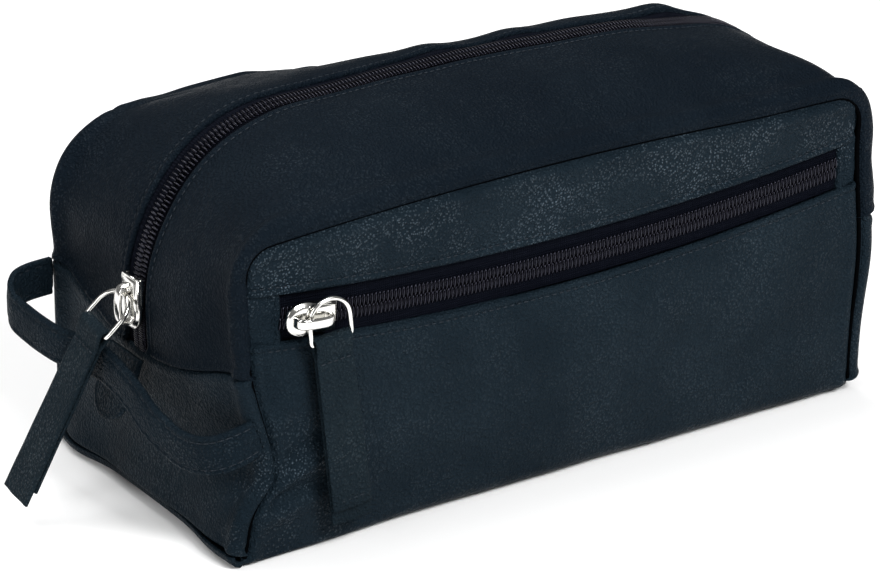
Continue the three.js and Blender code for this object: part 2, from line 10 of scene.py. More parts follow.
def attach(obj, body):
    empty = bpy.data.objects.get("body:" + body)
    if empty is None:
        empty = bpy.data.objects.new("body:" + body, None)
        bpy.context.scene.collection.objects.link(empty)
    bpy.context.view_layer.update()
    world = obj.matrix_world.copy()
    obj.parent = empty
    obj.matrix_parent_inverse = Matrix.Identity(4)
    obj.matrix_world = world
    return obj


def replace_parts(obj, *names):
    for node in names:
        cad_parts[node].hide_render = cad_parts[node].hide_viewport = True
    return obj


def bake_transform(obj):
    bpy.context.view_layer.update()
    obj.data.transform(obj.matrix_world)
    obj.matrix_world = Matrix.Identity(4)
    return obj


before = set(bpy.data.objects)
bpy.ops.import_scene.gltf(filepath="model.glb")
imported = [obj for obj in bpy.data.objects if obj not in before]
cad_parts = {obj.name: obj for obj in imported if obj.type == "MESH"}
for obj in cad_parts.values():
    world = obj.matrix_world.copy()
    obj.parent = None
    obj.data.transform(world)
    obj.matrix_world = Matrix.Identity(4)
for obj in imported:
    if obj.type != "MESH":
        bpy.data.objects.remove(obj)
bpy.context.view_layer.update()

MM = 0.001

# ---- driving dimensions ----

HALF_DEPTH = 58  # from the middle to the front and back seams
LEATHER = 1.6
CLOTH = 0.6
GAP = 0.3
SEAM_LEFT = -119
SEAM_RIGHT = 119.5
SEAM_OUTLINE = dict(left=SEAM_LEFT, right=SEAM_RIGHT, left_rise=96, right_rise=95,
                    left_radius=12, right_radius=13, left_slope=0.07, right_slope=-0.08)
BACK_SEAM_OUTLINE = dict(SEAM_OUTLINE, left_rise=86, left_radius=22)
ZIP_OUTLINE = dict(left=-122, right=124, left_rise=70, right_rise=91.5,
                   left_radius=56, right_radius=30, left_slope=0.06, right_slope=-0.12)
ROOF_POWER = 2.5
BASE_TURN_UP = 4
END_SEAM_MIDDLE = 53
END_SEAM_SIDE = 63
PANEL_BULGE = 2.2
PINCH = 9
PINCH_HEIGHT = 29
CORNER = 2.2
SAG = 9  # how far the roof's back half has sunk, towards the right

ROW_INNER = 0.7  # the zip's coil rows
ROW_OUTER = 3.9
ROW_PROUD = 0.6  # how far under the leather's face the rows' middles are
TURN_PITCH = 1.45
TAPE_DEPTH = LEATHER + GAP
TAPE_REACH = 14
MAIN_ZIP_LENGTH = 392
STRIP_FRONT_EDGE = 5.2  # edges of the roof leather beside the main zip
STRIP_BACK_EDGE = 7.5

POCKET_ARC_X = -8
POCKET_ARC_LOW = 75.5
POCKET_ARC_RADIUS = 900
POCKET_LEFT = -104
POCKET_RIGHT = 110
POCKET_HALF_OPENING = 8
POCKET_SLIDER_X = -95.4

SLIDER_LENGTH = 17.7
SLIDER_WIDTH = 12.2
SLIDER_TAIL_WIDTH = 9.6
HOLE_MIDDLE = 4.65
WIRE = 0.8
RING_WIDTH = 14.4
RING_HEIGHT = 14
PULL_WIDTH = 12.8
PULL_LENGTH = 62
PULL_LAYER = 1.3

STRAP_WIDTH = 12.5
STRAP_THICKNESS = 2.4
STRAP_MIDDLE = [
    (-113.4, -58, 43.8), (-118.5, -57.6, 42), (-123, -55.6, 39.9), (-126.6, -52, 38),
    (-129, -47, 36.9), (-130.6, -41, 36.8), (-131.8, -34, 38.2), (-133.4, -26, 41.6),
    (-134.4, -16, 47.6), (-135, -2, 51.2), (-136.3, 8, 51.6), (-141.4, 20, 52.6),
    (-144.2, 35, 55.3), (-144.2, 43, 57.2), (-139.4, 50.3, 58.8), (-132.6, 54.5, 58.8), (-122, 56.3, 58.5),
]


def mix(a, b, t):
    return a + (b - a) * t


def hump(distance, width):
    """1 at no distance, falling off softly over a width."""
    return exp(-((distance / width) ** 2))


def step(low, high, value):
    t = min(1, max(0, (value - low) / (high - low)))
    return t * t * (3 - 2 * t)


def eased(t):
    """Crowds a grid's rows towards both of its edges."""
    return (1 - cos(pi * t)) / 2


def uneven(x, y, z, size, seed=0.0):
    """Soft random height, about -1 to 1, that changes over a size."""
    return noise.noise(Vector((x / size + seed, y / size + 7.3, z / size - seed)))


# ---- the bag's surface ----

def fullness(y):
    return 1 - min(1, abs(y / HALF_DEPTH)) ** ROOF_POWER


def outline_at(y, depth):
    f = fullness(y)
    seam = BACK_SEAM_OUTLINE if y > 0 else SEAM_OUTLINE
    o = {key: mix(seam[key], ZIP_OUTLINE[key], f) for key in seam}
    o["left"] += depth
    o["right"] -= depth
    o["left_radius"] -= depth
    o["right_radius"] -= depth
    return o


def end_seam(y):
    return mix(END_SEAM_SIDE, END_SEAM_MIDDLE, fullness(y) ** 2)


def pinch(z):
    spread = 9 if z < PINCH_HEIGHT else 27
    return PINCH * hump(z - PINCH_HEIGHT, spread)


def pinch_across(y):
    return min(1, max(0, -y / HALF_DEPTH)) ** 3


def cubic(x, x0, z0, slope0, x1, z1, slope1):
    w = x1 - x0
    t = (x - x0) / w
    return ((1 + 2 * t) * (1 - t) ** 2 * z0 + t * (1 - t) ** 2 * w * slope0
            + t * t * (3 - 2 * t) * z1 + t * t * (t - 1) * w * slope1)


def sag(x, y, z):
    """How far the roof has sunk at a point."""
    return SAG * step(-96, 40, x) * step(14, 40, y) * step(63, 100, z)


def corner(x, y, z):
    """How far the front right corner stands up and out at a point."""
    return CORNER * step(70, 116, x) * step(20, 54, -y) * step(75, 104, z)


def skin(u, y, depth):
    at = full_skin(u, y, depth)
    full = corner(at.x, y, at.z)
    at.z += full - sag(at.x, y, at.z)
    at.x += full * 0.6
    return at


def full_skin(u, y, depth):
    """The gusset before it sinks, from the left end's seam (0), round the left shoulder (1 to 2), along the
    top (2 to 3), round the right shoulder (3 to 4) and down to the right end's seam (5)."""
    o = outline_at(y, depth)

    def shoulder(side, end, share):
        """A point of a shoulder's arc, from its foot (0) to the top (1)."""
        radius = o[end + "_radius"]
        turn = (pi / 2 + side * atan(o[end + "_slope"])) * share
        return o[end] - side * radius * (1 - cos(turn)), o[end + "_rise"] + radius * sin(turn)

    if u <= 2:
        x, z = shoulder(-1, "left", max(0, u - 1))
        if u <= 1:
            z = mix(end_seam(y) + GAP, z, u)
        return Vector((x + pinch(z) * pinch_across(y), y, z))
    if u <= 3:
        left_end = shoulder(-1, "left", 1)
        right_end = shoulder(1, "right", 1)
        x = mix(left_end[0], right_end[0], u - 2)
        return Vector((x, y, cubic(x, *left_end, o["left_slope"], *right_end, o["right_slope"])))
    x, z = shoulder(1, "right", max(0, 4 - u))
    if u > 4:
        z = mix(z, end_seam(y) + GAP, u - 4)
    return Vector((x, y, z))


def bulge(x, z, low, high):
    across = 1 - min(1, abs(x / SEAM_LEFT)) ** 4
    up = min(1, max(0, (z - low) / (high - low)))
    return PANEL_BULGE * across * sin(pi * up)


def pocket_middle(x):
    along = x - POCKET_ARC_X
    return POCKET_ARC_LOW + POCKET_ARC_RADIUS - sqrt(POCKET_ARC_RADIUS**2 - along**2)


def pocket_sill(x):
    """Upper edge of the panel below the pocket zip."""
    return pocket_middle(x) - POCKET_HALF_OPENING


def pocket_top(x):
    """Lower edge of the strip above it."""
    return 83.6 + (x + 5) ** 2 / 2000


# Lengths of the gusset's five stretches.
STRETCHES = (30, 76, 184, 50, 40)


def along_gusset(t):
    """u at a share of the gusset's length, so that its columns are evenly spaced."""
    at = t * sum(STRETCHES)
    for n, length in enumerate(STRETCHES):
        if at <= length:
            return n + at / length
        at -= length
    return 5


# ---- making pieces ----

def make(name, bm, material, body="root"):
    """A piece from a bmesh in millimetres, with its material, on one body when body names one; any
    other body leaves it unparented."""
    bmesh.ops.scale(bm, vec=(MM, MM, MM), verts=bm.verts)
    bmesh.ops.recalc_face_normals(bm, faces=bm.faces)
    mesh = bpy.data.meshes.new(name)
    bm.to_mesh(mesh)
    bm.free()
    mesh.polygons.foreach_set("use_smooth", [True] * len(mesh.polygons))
    piece = bpy.data.objects.new(name, mesh)
    bpy.context.scene.collection.objects.link(piece)
    mesh.materials.append(material)
    if isinstance(body, str):
        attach(piece, body)
    else:
        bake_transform(piece)
    return piece


def stand_in(name, bm, material, body="root"):
    """A piece that takes the place of the node of its own name."""
    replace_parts(make(name, bm, material, body), name)


def sheet(columns, rows, place):
    """A flat sheet with a thickness, whose points are then put where place(a, b, c) says: a along it, b
    across it and c through it, each from 0 to 1."""
    bm = bmesh.new()
    bmesh.ops.create_grid(bm, x_segments=columns, y_segments=rows, size=0.5)
    bmesh.ops.solidify(bm, geom=bm.faces[:], thickness=1)
    low = min(v.co.z for v in bm.verts)
    for v in bm.verts:
        v.co = place(min(1, max(0, v.co.x + 0.5)), min(1, max(0, v.co.y + 0.5)), v.co.z - low)
    return bm


def joined(*parts):
    """Several bmeshes as one."""
    whole = bmesh.new()
    for part in parts:
        scratch = bpy.data.meshes.new("part")
        part.to_mesh(scratch)
        part.free()
        whole.from_mesh(scratch)
        bpy.data.meshes.remove(scratch)
    return whole


def strewn(shape, places):
    """Copies of a small bmesh, one at each place."""
    scratch = bpy.data.meshes.new("shape")
    shape.to_mesh(scratch)
    shape.free()
    whole = bmesh.new()
    count = len(scratch.vertices)
    for place in places:
        whole.from_mesh(scratch)
        whole.verts.ensure_lookup_table()
        bmesh.ops.transform(whole, matrix=place, verts=whole.verts[-count:])
    bpy.data.meshes.remove(scratch)
    return whole


def seat(origin, x, y, z):
    """The place at an origin whose axes point these ways."""
    place = Matrix((x, y, z)).transposed().to_4x4()
    place.translation = origin
    return place


def facing(origin, along, out):
    """A place whose X points along a direction and whose Z points out, as nearly as it can."""
    x = along.normalized()
    y = out.cross(x).normalized()
    return seat(origin, x, y, x.cross(y))


THREAD = 0.22
STITCH = 1.8
STITCH_PITCH = 2.7


def stitch_shape(length):
    bm = bmesh.new()
    bmesh.ops.create_uvsphere(bm, u_segments=6, v_segments=5, radius=1)
    bmesh.ops.rotate(bm, matrix=Matrix.Rotation(pi / 2, 3, "Y"), verts=bm.verts)
    bmesh.ops.scale(bm, vec=(length / 2, THREAD, THREAD), verts=bm.verts)
    return bm


def stitches(name, line, length, body="root", pitch=STITCH_PITCH, size=STITCH):
    """A row of stitches on a line: line(t) gives a point and the direction out of the leather."""
    count = max(2, round(length / pitch))
    places = []
    for n in range(count):
        t = (n + 0.5) / count
        here, out = line(t)
        ahead, _ = line(min(1, t + 0.3 / count))
        behind, _ = line(max(0, t - 0.3 / count))
        places.append(facing(here, ahead - behind, out))
    return make(name, strewn(stitch_shape(size), places), thread, body)


def tube(points, radius, sides=10, closed=False):
    """Round wire through points, as a bmesh."""
    curve = bpy.data.curves.new("wire", "CURVE")
    curve.dimensions = "3D"
    spline = curve.splines.new("NURBS")
    spline.points.add(len(points) - 1)
    for point, at in zip(spline.points, points):
        point.co = (*at, 1)
    spline.order_u = 4
    spline.use_endpoint_u = not closed
    spline.use_cyclic_u = closed
    spline.resolution_u = 4
    curve.bevel_depth = radius
    curve.bevel_resolution = (sides - 4) // 2
    curve.use_fill_caps = not closed
    holder = bpy.data.objects.new("wire", curve)
    mesh = bpy.data.meshes.new_from_object(holder)
    bm = bmesh.new()
    bm.from_mesh(mesh)
    bmesh.ops.remove_doubles(bm, verts=bm.verts, dist=radius * 0.01)
    bpy.data.objects.remove(holder)
    bpy.data.curves.remove(curve)
    bpy.data.meshes.remove(mesh)
    return bm


# ---- materials ----

class Recipe:
    """A material's nodes, added and linked by short calls."""

    def __init__(self, name):
        self.material = bpy.data.materials.new(name)
        self.material.use_nodes = True
        self.tree = self.material.node_tree
        self.shader = self.tree.nodes["Principled BSDF"]
        self.where = self.tree.nodes.new("ShaderNodeTexCoord").outputs["Object"]

    def put(self, socket, value):
        """Links or sets a socket. A colour has three numbers."""
        if isinstance(value, bpy.types.NodeSocket):
            self.tree.links.new(value, socket)
        else:
            socket.default_value = (*value, 1) if socket.type == "RGBA" else value

    def node(self, kind, inputs, **settings):
        made = self.tree.nodes.new("ShaderNode" + kind)
        for key, value in settings.items():
            setattr(made, key, value)
        for key, value in inputs.items():
            self.put(made.inputs[key], value)
        return made

    def noise(self, scale, detail=3, rough=0.5):
        inputs = {"Vector": self.where, "Scale": scale, "Detail": detail, "Roughness": rough}
        return self.node("TexNoise", inputs).outputs["Fac"]

    def cells(self, scale, where):
        return self.node("TexVoronoi", {"Vector": where, "Scale": scale}).outputs["Distance"]

    def between(self, value, low, high, out_low=0.0, out_high=1.0):
        inputs = {"Value": value, "From Min": low, "From Max": high, "To Min": out_low, "To Max": out_high}
        return self.node("MapRange", inputs).outputs["Result"]

    def sum(self, a, b, operation="ADD"):
        return self.node("Math", {0: a, 1: b}, operation=operation).outputs["Value"]

    def blend(self, share, a, b):
        return self.node("Mix", {"Factor": share, 6: a, 7: b}, data_type="RGBA").outputs[2]

    def bump(self, height, distance, strength=1.0, under=None):
        inputs = {"Height": height, "Distance": distance, "Strength": strength}
        if under:
            inputs["Normal"] = under
        return self.node("Bump", inputs).outputs["Normal"]

    def finish(self, **sockets):
        """The material with its shader's sockets set, underscores standing for spaces in their names."""
        for key, value in sockets.items():
            self.put(self.shader.inputs[key.replace("_", " ")], value)
        return self.material


def leather_finish(name, dark, light, rough_low, rough_high, grain=1.0, worn=False):
    """Soft pebbled leather: rounded grains of uneven size, fine pores, a colour that changes at random,
    and grain tops that turn glossier where it has been handled."""
    r = Recipe(name)
    warp = r.node("TexNoise", {"Vector": r.where, "Scale": 300.0, "Detail": 2.0}).outputs["Color"]
    shifted = r.node("VectorMath", {0: warp, 1: (0.0016, 0.0016, 0.0016)}, operation="MULTIPLY").outputs[0]
    where = r.node("VectorMath", {0: r.where, 1: shifted}, operation="ADD").outputs[0]
    pebbles = r.cells(1050.0, where)
    small = r.cells(2300.0, where)
    height = r.sum(r.between(pebbles, 0.0, 0.75, 1.0, 0.0), r.between(small, 0.0, 0.8, 0.35, 0.0))
    creases = r.between(r.noise(85.0, 5, 0.62), 0.3, 0.7)
    shade = r.between(r.noise(22.0, 4, 0.6), 0.35, 0.68)
    pores = r.between(pebbles, 0.15, 0.7, 1.0, 0.25)
    colour = r.blend(r.sum(shade, pores, "MULTIPLY"), dark, light)
    rough = r.between(r.sum(r.noise(260.0, 3), r.sum(shade, 0.25, "MULTIPLY"), "SUBTRACT"), 0.05, 0.75,
                      rough_low, rough_high)
    # only the tops of the grains shine, and more so where the leather is handled
    patches = r.between(r.noise(48.0, 4, 0.65), 0.42, 0.7)
    tops = r.sum(r.between(pebbles, 0.12, 0.42, 1.0, 0.0), patches, "MULTIPLY")
    if worn:
        # the strip over the pocket and the folded lower corner are handled most
        up = r.between(r.node("SeparateXYZ", {"Vector": r.where}).outputs["Z"], 0.080, 0.088)
        fold = r.node("VectorMath", {0: r.where, 1: (-0.102, -0.06, 0.022)}, operation="DISTANCE")
        handled = r.sum(up, r.between(fold.outputs["Value"], 0.006, 0.034, 1.0, 0.0), "MAXIMUM")
        tops = r.sum(tops, r.between(handled, 0.0, 1.0, 1.0, 7.0), "MULTIPLY")
    shine = r.between(tops, 0.0, 7.0, 0.03, 1.4 * grain)
    under = r.bump(creases, 0.0009, 0.6)
    normal = r.bump(height, 0.0005 * grain, 0.9, under)
    return r.finish(Base_Color=colour, Roughness=rough, Normal=normal, Specular_IOR_Level=shine,
                    Specular_Tint=(0.62, 0.82, 1.0))


def cloth_finish(name, dark, light, threads, depth):
    """Woven cloth: over and under threads from two crossed waves, with fluff."""
    r = Recipe(name)

    def wave(direction):
        inputs = {"Vector": r.where, "Scale": threads, "Distortion": 0.6, "Detail": 1.0}
        return r.node("TexWave", inputs, bands_direction=direction).outputs["Fac"]

    weave = r.sum(wave("X"), r.sum(wave("Z"), wave("Y"), "MAXIMUM"), "MULTIPLY")
    colour = r.blend(r.sum(weave, r.between(r.noise(420.0), 0.3, 0.7, 0.3, 1.0), "MULTIPLY"), dark, light)
    normal = r.bump(weave, depth, 0.8)
    return r.finish(Base_Color=colour, Roughness=0.82, Normal=normal, Specular_IOR_Level=0.04,
                    Specular_Tint=(0.6, 0.7, 1.0))


def nylon_finish(name):
    """Glossy coil with a faint purple brown cast."""
    r = Recipe(name)
    tone = r.between(r.noise(700.0, 2), 0.35, 0.65)
    colour = r.blend(tone, (0.0016, 0.0016, 0.0032), (0.0045, 0.0040, 0.0068))
    return r.finish(Base_Color=colour, Roughness=r.between(r.noise(1500.0), 0.3, 0.7, 0.16, 0.28),
                    Specular_IOR_Level=0.3, Specular_Tint=(0.72, 0.74, 1.0))


def nickel_finish(name):
    """Polished nickel with fine scratches and hazy patches."""
    r = Recipe(name)
    haze = r.between(r.noise(240.0, 4), 0.35, 0.7)
    stretched = r.node("Mapping", {"Vector": r.where, "Scale": (400.0, 5000.0, 900.0)}).outputs["Vector"]
    scratches = r.node("TexNoise", {"Vector": stretched, "Scale": 1.0, "Detail": 2.0}).outputs["Fac"]
    colour = r.blend(haze, (0.74, 0.73, 0.70), (0.86, 0.85, 0.82))
    rough = r.between(r.sum(haze, scratches, "MULTIPLY"), 0.0, 0.8, 0.1, 0.3)
    return r.finish(Base_Color=colour, Metallic=1.0, Roughness=rough, Normal=r.bump(scratches, 0.00002, 0.3))


def thread_and_shade_finish(name, dark, light, specular=0.15):
    """Twisted thread, dark with pale fibres; made near black, the same finish is the painted groove shade.
    """
    r = Recipe(name)
    twist = r.between(r.noise(2600.0, 2), 0.4, 0.65)
    colour = r.blend(twist, dark, light)
    return r.finish(Base_Color=colour, Roughness=0.6, Normal=r.bump(twist, 0.0001, 0.5),
                    Specular_IOR_Level=specular)


panel_leather = leather_finish("panel_leather", (0.0050, 0.0094, 0.0138), (0.0120, 0.0200, 0.0272),
                               0.34, 0.52, worn=True)
roof_leather = leather_finish("roof_leather", (0.0030, 0.0054, 0.0088), (0.0062, 0.0104, 0.0152), 0.38, 0.58)
strap_leather = leather_finish("strap_leather", (0.0042, 0.0082, 0.0125), (0.0105, 0.0180, 0.0245),
                               0.38, 0.56, 1.3)
pull_leather = leather_finish("pull_leather", (0.0055, 0.0100, 0.0140), (0.0150, 0.0235, 0.0290),
                              0.40, 0.58, 1.3)
tape_cloth = cloth_finish("zip_tape", (0.0014, 0.0018, 0.0036), (0.0062, 0.0074, 0.0125), 420.0, 0.0003)
lining_cloth = cloth_finish("lining", (0.0080, 0.0090, 0.0120), (0.0260, 0.0290, 0.0360), 600.0, 0.0002)
coil_nylon = nylon_finish("zip_coil")
nickel = nickel_finish("polished_nickel")
thread = thread_and_shade_finish("thread", (0.006, 0.009, 0.013), (0.026, 0.034, 0.044))
# painted shade: a near-black finish for the tube that darkens the seam grooves
painted_groove_shade = thread_and_shade_finish("painted_groove_shade", (0.0002, 0.0002, 0.0004), (0.0006, 0.0008, 0.0012), 0.01)

# ---- bodies named for the pieces by the opening mouth; make() leaves these pieces unparented ----

MOUTH = {
    -1: ("root", "mouth_front", (0, -0.0500, 0.1140), (0, -0.0492, 0.1235)),
    1: ("root", "mouth_back", (0, 0.0500, 0.1060), (0, 0.0476, 0.1152)),
}
SIDE_NAME = {-1: "front", 1: "back"}

# ---- leather: the gusset's two long strips ----

RIDGE_FROM = 130  # degrees round the rolled seam, from the roof to the groove
RIDGE_TO = -70
RIDGE_MIDDLE = 56.1
RIDGE_RADIUS = 2.7


def rounded_edge(distance, radius):
    """How far a turned edge has rounded down, at a distance from it."""
    if distance >= radius:
        return 0
    return radius * (1 - sqrt(1 - (1 - max(0, distance) / radius) ** 2))


def ridge(t):
    """The rolled seam's distance from the middle and its height, from the roof (0) to the groove (1)."""
    turn = radians(mix(RIDGE_FROM, RIDGE_TO, t))
    return RIDGE_MIDDLE + RIDGE_RADIUS * cos(turn), RIDGE_RADIUS * sin(turn) - 0.1


RIDGE_EDGE, RIDGE_RISE = ridge(0)


def beside_ridge(y):
    """How the leather climbs towards the rolled seam."""
    return RIDGE_RISE * hump(y - 54.9, 2.6)


def right_swell(y, z):
    """How far the right end's front seam is pushed out."""
    return 2.6 * hump(z - 52, 24) * pinch_across(y)


def low_swell(y, z):
    """How far the left end's lower edge is pushed out."""
    return (3.0 * hump(y - 42, 12) + 2.4 * hump(y + 46, 15)) * step(26, 5, z)


def softness(x, y, z):
    """How far soft leather stands out or sinks, everywhere on the bag."""
    return 0.9 * uneven(x, y, z, 42, 3.1) + 0.35 * uneven(x, y, z, 16, 8.7)


def gusset_dents(u, x, y, z):
    """Hollows and swellings of the gusset, outward positive."""
    out = softness(x, y, z) * step(57, 48, abs(y))
    if u < 2:
        # the front left corner is hollow beside its seam, and the shoulder is full above it
        out -= 2.2 * hump(z - 72, 20) * hump(y + 44, 9)
        out += 1.2 * hump(z - 82, 16) * hump(y + 26, 14)
        # the back corner is sucked in under the shoulder
        out -= 1.6 * hump(z - 70, 12) * hump(y - 26, 12)
        out -= 1.2 * hump(z - 103, 13) * step(16, 44, y)
    if u > 3.5:
        out += 7.0 * hump(z - 76, 20) * hump(y + 44, 13) + right_swell(y, z)
    if u > 2.4:
        out -= 1.6 * hump(x - 112, 17) * hump(y + 12, 26)
    if 1.7 < u < 3.6 and y > 0:
        out -= 1.5 * hump(x - 16, 52) * step(5, 11, y) * step(40, 14, y)
        out += 1.6 * hump(x + 50, 18) * step(20, 50, y) - 2.4 * hump(x - 26, 42) * step(14, 36, y)
        out -= 2.4 * hump(x - 108, 16) * hump(y - 20, 14)
        for bump_x, height in ((-6, 1.6), (26, 1.8), (86, 2.6)):
            out += height * hump(x - bump_x, 9) * hump(y - 12, 7)
    return out


def gusset_strip(side, edge):
    """One of the two strips beside the main zip, from its turned edge at the zip to the rolled side seam."""
    flat_share = 0.8

    def place(a, b, c):
        u = along_gusset(a)
        if b < flat_share:
            y = mix(edge, RIDGE_EDGE, eased(b / flat_share * 0.86) / eased(0.86))
            out = beside_ridge(y) - rounded_edge(y - edge, 1.1)
            out += 0.35 * hump(y - edge - 1.2, 1.2) - 0.45 * hump(y - edge - 2.6, 0.6)
        else:
            y, out = ridge((b - flat_share) / (1 - flat_share))
        base = skin(u, side * min(y, HALF_DEPTH), 0)
        fuller = 1 + 0.35 * uneven(base.x, base.y, base.z, 11, 2.0)
        out = out * (fuller if out > 0 else 1) + gusset_dents(u, base.x, side * y, base.z)
        # the lower end is turned over the end panel
        foot = min(abs(u), abs(5 - u)) * 30
        out += 0.9 * hump(foot - 1.6, 1.8) - rounded_edge(foot, 1.0) * 1.2
        at = skin(u, side * min(y, HALF_DEPTH), LEATHER * c - out)
        at.y = side * (y - (0.6 * LEATHER * c if b > 0.93 else 0))
        return at

    name = f"gusset_strip_{SIDE_NAME[side]}"
    piece = make(name, sheet(330, 56, place), roof_leather, MOUTH[side])
    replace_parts(piece, f"roof_strip_{SIDE_NAME[side]}", f"roof_flap_{SIDE_NAME[side]}")

    def seam_line(t):
        u = along_gusset(mix(0.004, 0.996, t))
        y = side * (edge + 2.6)
        here = skin(u, y, 0.12 - gusset_dents(u, *skin(u, y, 0)))
        return here, here - skin(u, y, 3)

    stitches(f"zip_stitches_{SIDE_NAME[side]}", seam_line, MAIN_ZIP_LENGTH, MOUTH[side])


# ---- the main zip's tapes and coil ----

def ribs(off):
    """The woven ribs of a zip's tape, at a distance from the zip's middle."""
    return 0.12 * cos(2 * pi * off / 1.1) if off > ROW_OUTER else 0


def zip_parts(name):
    return [f"{name}_{part}" for part in ("left", "middle", "right")]


def zip_tape(side):
    def place(a, b, c):
        u = along_gusset(a)
        y = mix(ROW_INNER - 0.25, TAPE_REACH, b)
        depth = TAPE_DEPTH - 0.75 * step(4.2, 5.4, y) * step(12, 8, y) + CLOTH * c
        return skin(u, side * y, depth - ribs(y) - gusset_dents(u, *skin(u, side * y, 0)))

    name = f"zip_tape_{SIDE_NAME[side]}"
    piece = make(name, sheet(260, 40, place), tape_cloth, MOUTH[side])
    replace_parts(piece, *zip_parts(name))


COIL_WIRE = 0.26


def coil_turn():
    """One turn of a coil row, standing across the zip: X across towards the tape, Z out."""
    bm = bmesh.new()
    bmesh.ops.create_circle(bm, segments=6, radius=COIL_WIRE)
    bmesh.ops.rotate(bm, matrix=Matrix.Rotation(pi / 2, 3, "X"), verts=bm.verts)
    bmesh.ops.translate(bm, vec=(1.0, 0, 0), verts=bm.verts)
    bmesh.ops.spin(bm, geom=bm.verts[:] + bm.edges[:], cent=(0, 0, 0), axis=(0, 0, 1), angle=pi * 2,
                   steps=12, use_merge=True)
    # the wire keeps its round section while the turn is drawn out to the row's width
    half_width = (ROW_OUTER + 0.35) / 2
    for v in bm.verts:
        flat = Vector((v.co.x, v.co.y, 0))
        ring_point = flat.normalized()
        off = (v.co - ring_point).dot(ring_point)
        v.co = Vector((ring_point.x * (half_width - COIL_WIRE + off), v.co.z + 0.05 * ring_point.x,
                       ring_point.y * (0.68 - COIL_WIRE * 0.5 + off)))
    return bm


def coil_places(line, length, side):
    """Where each turn of a row stands, half a turn from the other row's: line(t) gives the zip's middle and
    its way along, across and out."""
    count = int(length / TURN_PITCH)
    for n in range(count):
        t = (n + 0.5 + 0.25 * side) / (count + 1)
        here, along, across, out = line(t)
        middle = here + across * (side * (ROW_OUTER - 0.35) / 2)
        yield seat(middle, across * side, along * side, out)


def main_zip_line(t):
    u = along_gusset(t)
    here = skin(u, 0, ROW_PROUD - gusset_dents(u, *skin(u, 0, 0)))
    ahead = skin(along_gusset(min(1, t + 0.002)), 0, ROW_PROUD)
    behind = skin(along_gusset(max(0, t - 0.002)), 0, ROW_PROUD)
    along = (ahead - behind).normalized()
    across = Vector((0, 1, 0))
    return here, along, across, along.cross(across)


def zip_coil(side):
    name = f"zip_coil_{SIDE_NAME[side]}"
    places = coil_places(main_zip_line, MAIN_ZIP_LENGTH, side)
    piece = make(name, strewn(coil_turn(), places), coil_nylon, MOUTH[side])
    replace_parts(piece, *zip_parts(name))


# ---- leather: front, back, ends and base ----

PANEL_INSET = 0.9  # the panels start this far inside the seam's outline, at the bottom of the groove
PANEL_EDGE_ROUND = 3.2


def front_folds(x, z):
    """Creases of the front panel's lower left, where the corner is folded in."""
    out = 0
    for x0, z0, x1, z1, width, height in (
        (-108, 30, -82, 44, 3.0, -2.0), (-106, 25, -84, 33, 2.2, 1.5), (-107, 20, -80, 25, 2.2, -1.8),
        (-110, 14, -86, 18, 2.6, 1.4), (-112, 40, -96, 58, 3.4, 1.3), (-114, 46, -108, 62, 4.5, -2.6),
        (-60, 12, -20, 16, 7, -0.5), (30, 52, 84, 44, 9, 0.6), (70, 20, 108, 34, 6, -0.7),
    ):
        start = Vector((x0, z0))
        way = Vector((x1 - x0, z1 - z0))
        t = min(1, max(0, (Vector((x, z)) - start).dot(way) / way.length_squared))
        off = (Vector((x, z)) - start - way * t).length
        out += height * hump(off, width) * (1 - 0.75 * t)
    return out


def seam_left(z):
    return SEAM_LEFT + pinch(z)


def panel_edge(distance):
    return rounded_edge(distance, PANEL_EDGE_ROUND) + 0.9 * hump(distance - 1.4, 1.5)


def bottom_edge(x, z):
    return rounded_edge(z - 0.4, mix(1.3, 5.4, step(-112, -40, x)))


def turned_edge(distance, stitched):
    """An edge beside the pocket's zip: rounded, full behind the fold and pressed in where it is stitched."""
    return (rounded_edge(distance, 1.0) - 0.35 * hump(distance - 1.2, 1.1)
            + 0.4 * hump(distance - stitched, 0.6))


def pocket_stitches(name, height, swell, soft, sunk):
    """Stitches beside the pocket's zip, at height(x) on leather that stands out by swell(x, z)."""
    def line(t):
        x = mix(-115, 116, t)
        z = height(x)
        out = swell(x, z) + soft * softness(x, -HALF_DEPTH, z) - sunk
        return Vector((x, -HALF_DEPTH - out, z)), Vector((0, -1, 0))

    stitches(name, line, 232)


def front_lower_panel():
    def place(a, b, c):
        straight = mix(SEAM_LEFT, SEAM_RIGHT, eased(a))
        z = mix(0.4, pocket_sill(straight), eased(b))
        left = seam_left(z) + PANEL_INSET - 1.8 * hump(z, 7)
        right = SEAM_RIGHT - PANEL_INSET + right_swell(-HALF_DEPTH, z)
        x = mix(left, right, eased(a))
        top_edge = pocket_sill(x) - z
        sides = min(x - left, right - x)
        loose = softness(x, -HALF_DEPTH, z) + front_folds(x, z)
        out = bulge(x, z, 0, 70) + loose * step(0, 8, sides) * step(0, 5, top_edge)
        out += 0.8 * hump(sides - 4, 3) * step(0, 3, z)
        out -= panel_edge(sides) * step(-2, 8, z) + bottom_edge(x, z) + turned_edge(top_edge, 2.6)
        return Vector((x, -HALF_DEPTH - out + LEATHER * c, z))

    stand_in("front_lower_panel", sheet(230, 84, place), panel_leather)
    pocket_stitches("pocket_stitches_lower", lambda x: pocket_sill(x) - 2.6,
                    lambda x, z: bulge(x, z, 0, 70), step(0, 5, 2.6), 0.25)


def seam_top(a, y):
    """The top edge of the front or back panel, over both shoulders."""
    return skin(1 + 3 * a, y, PANEL_INSET)


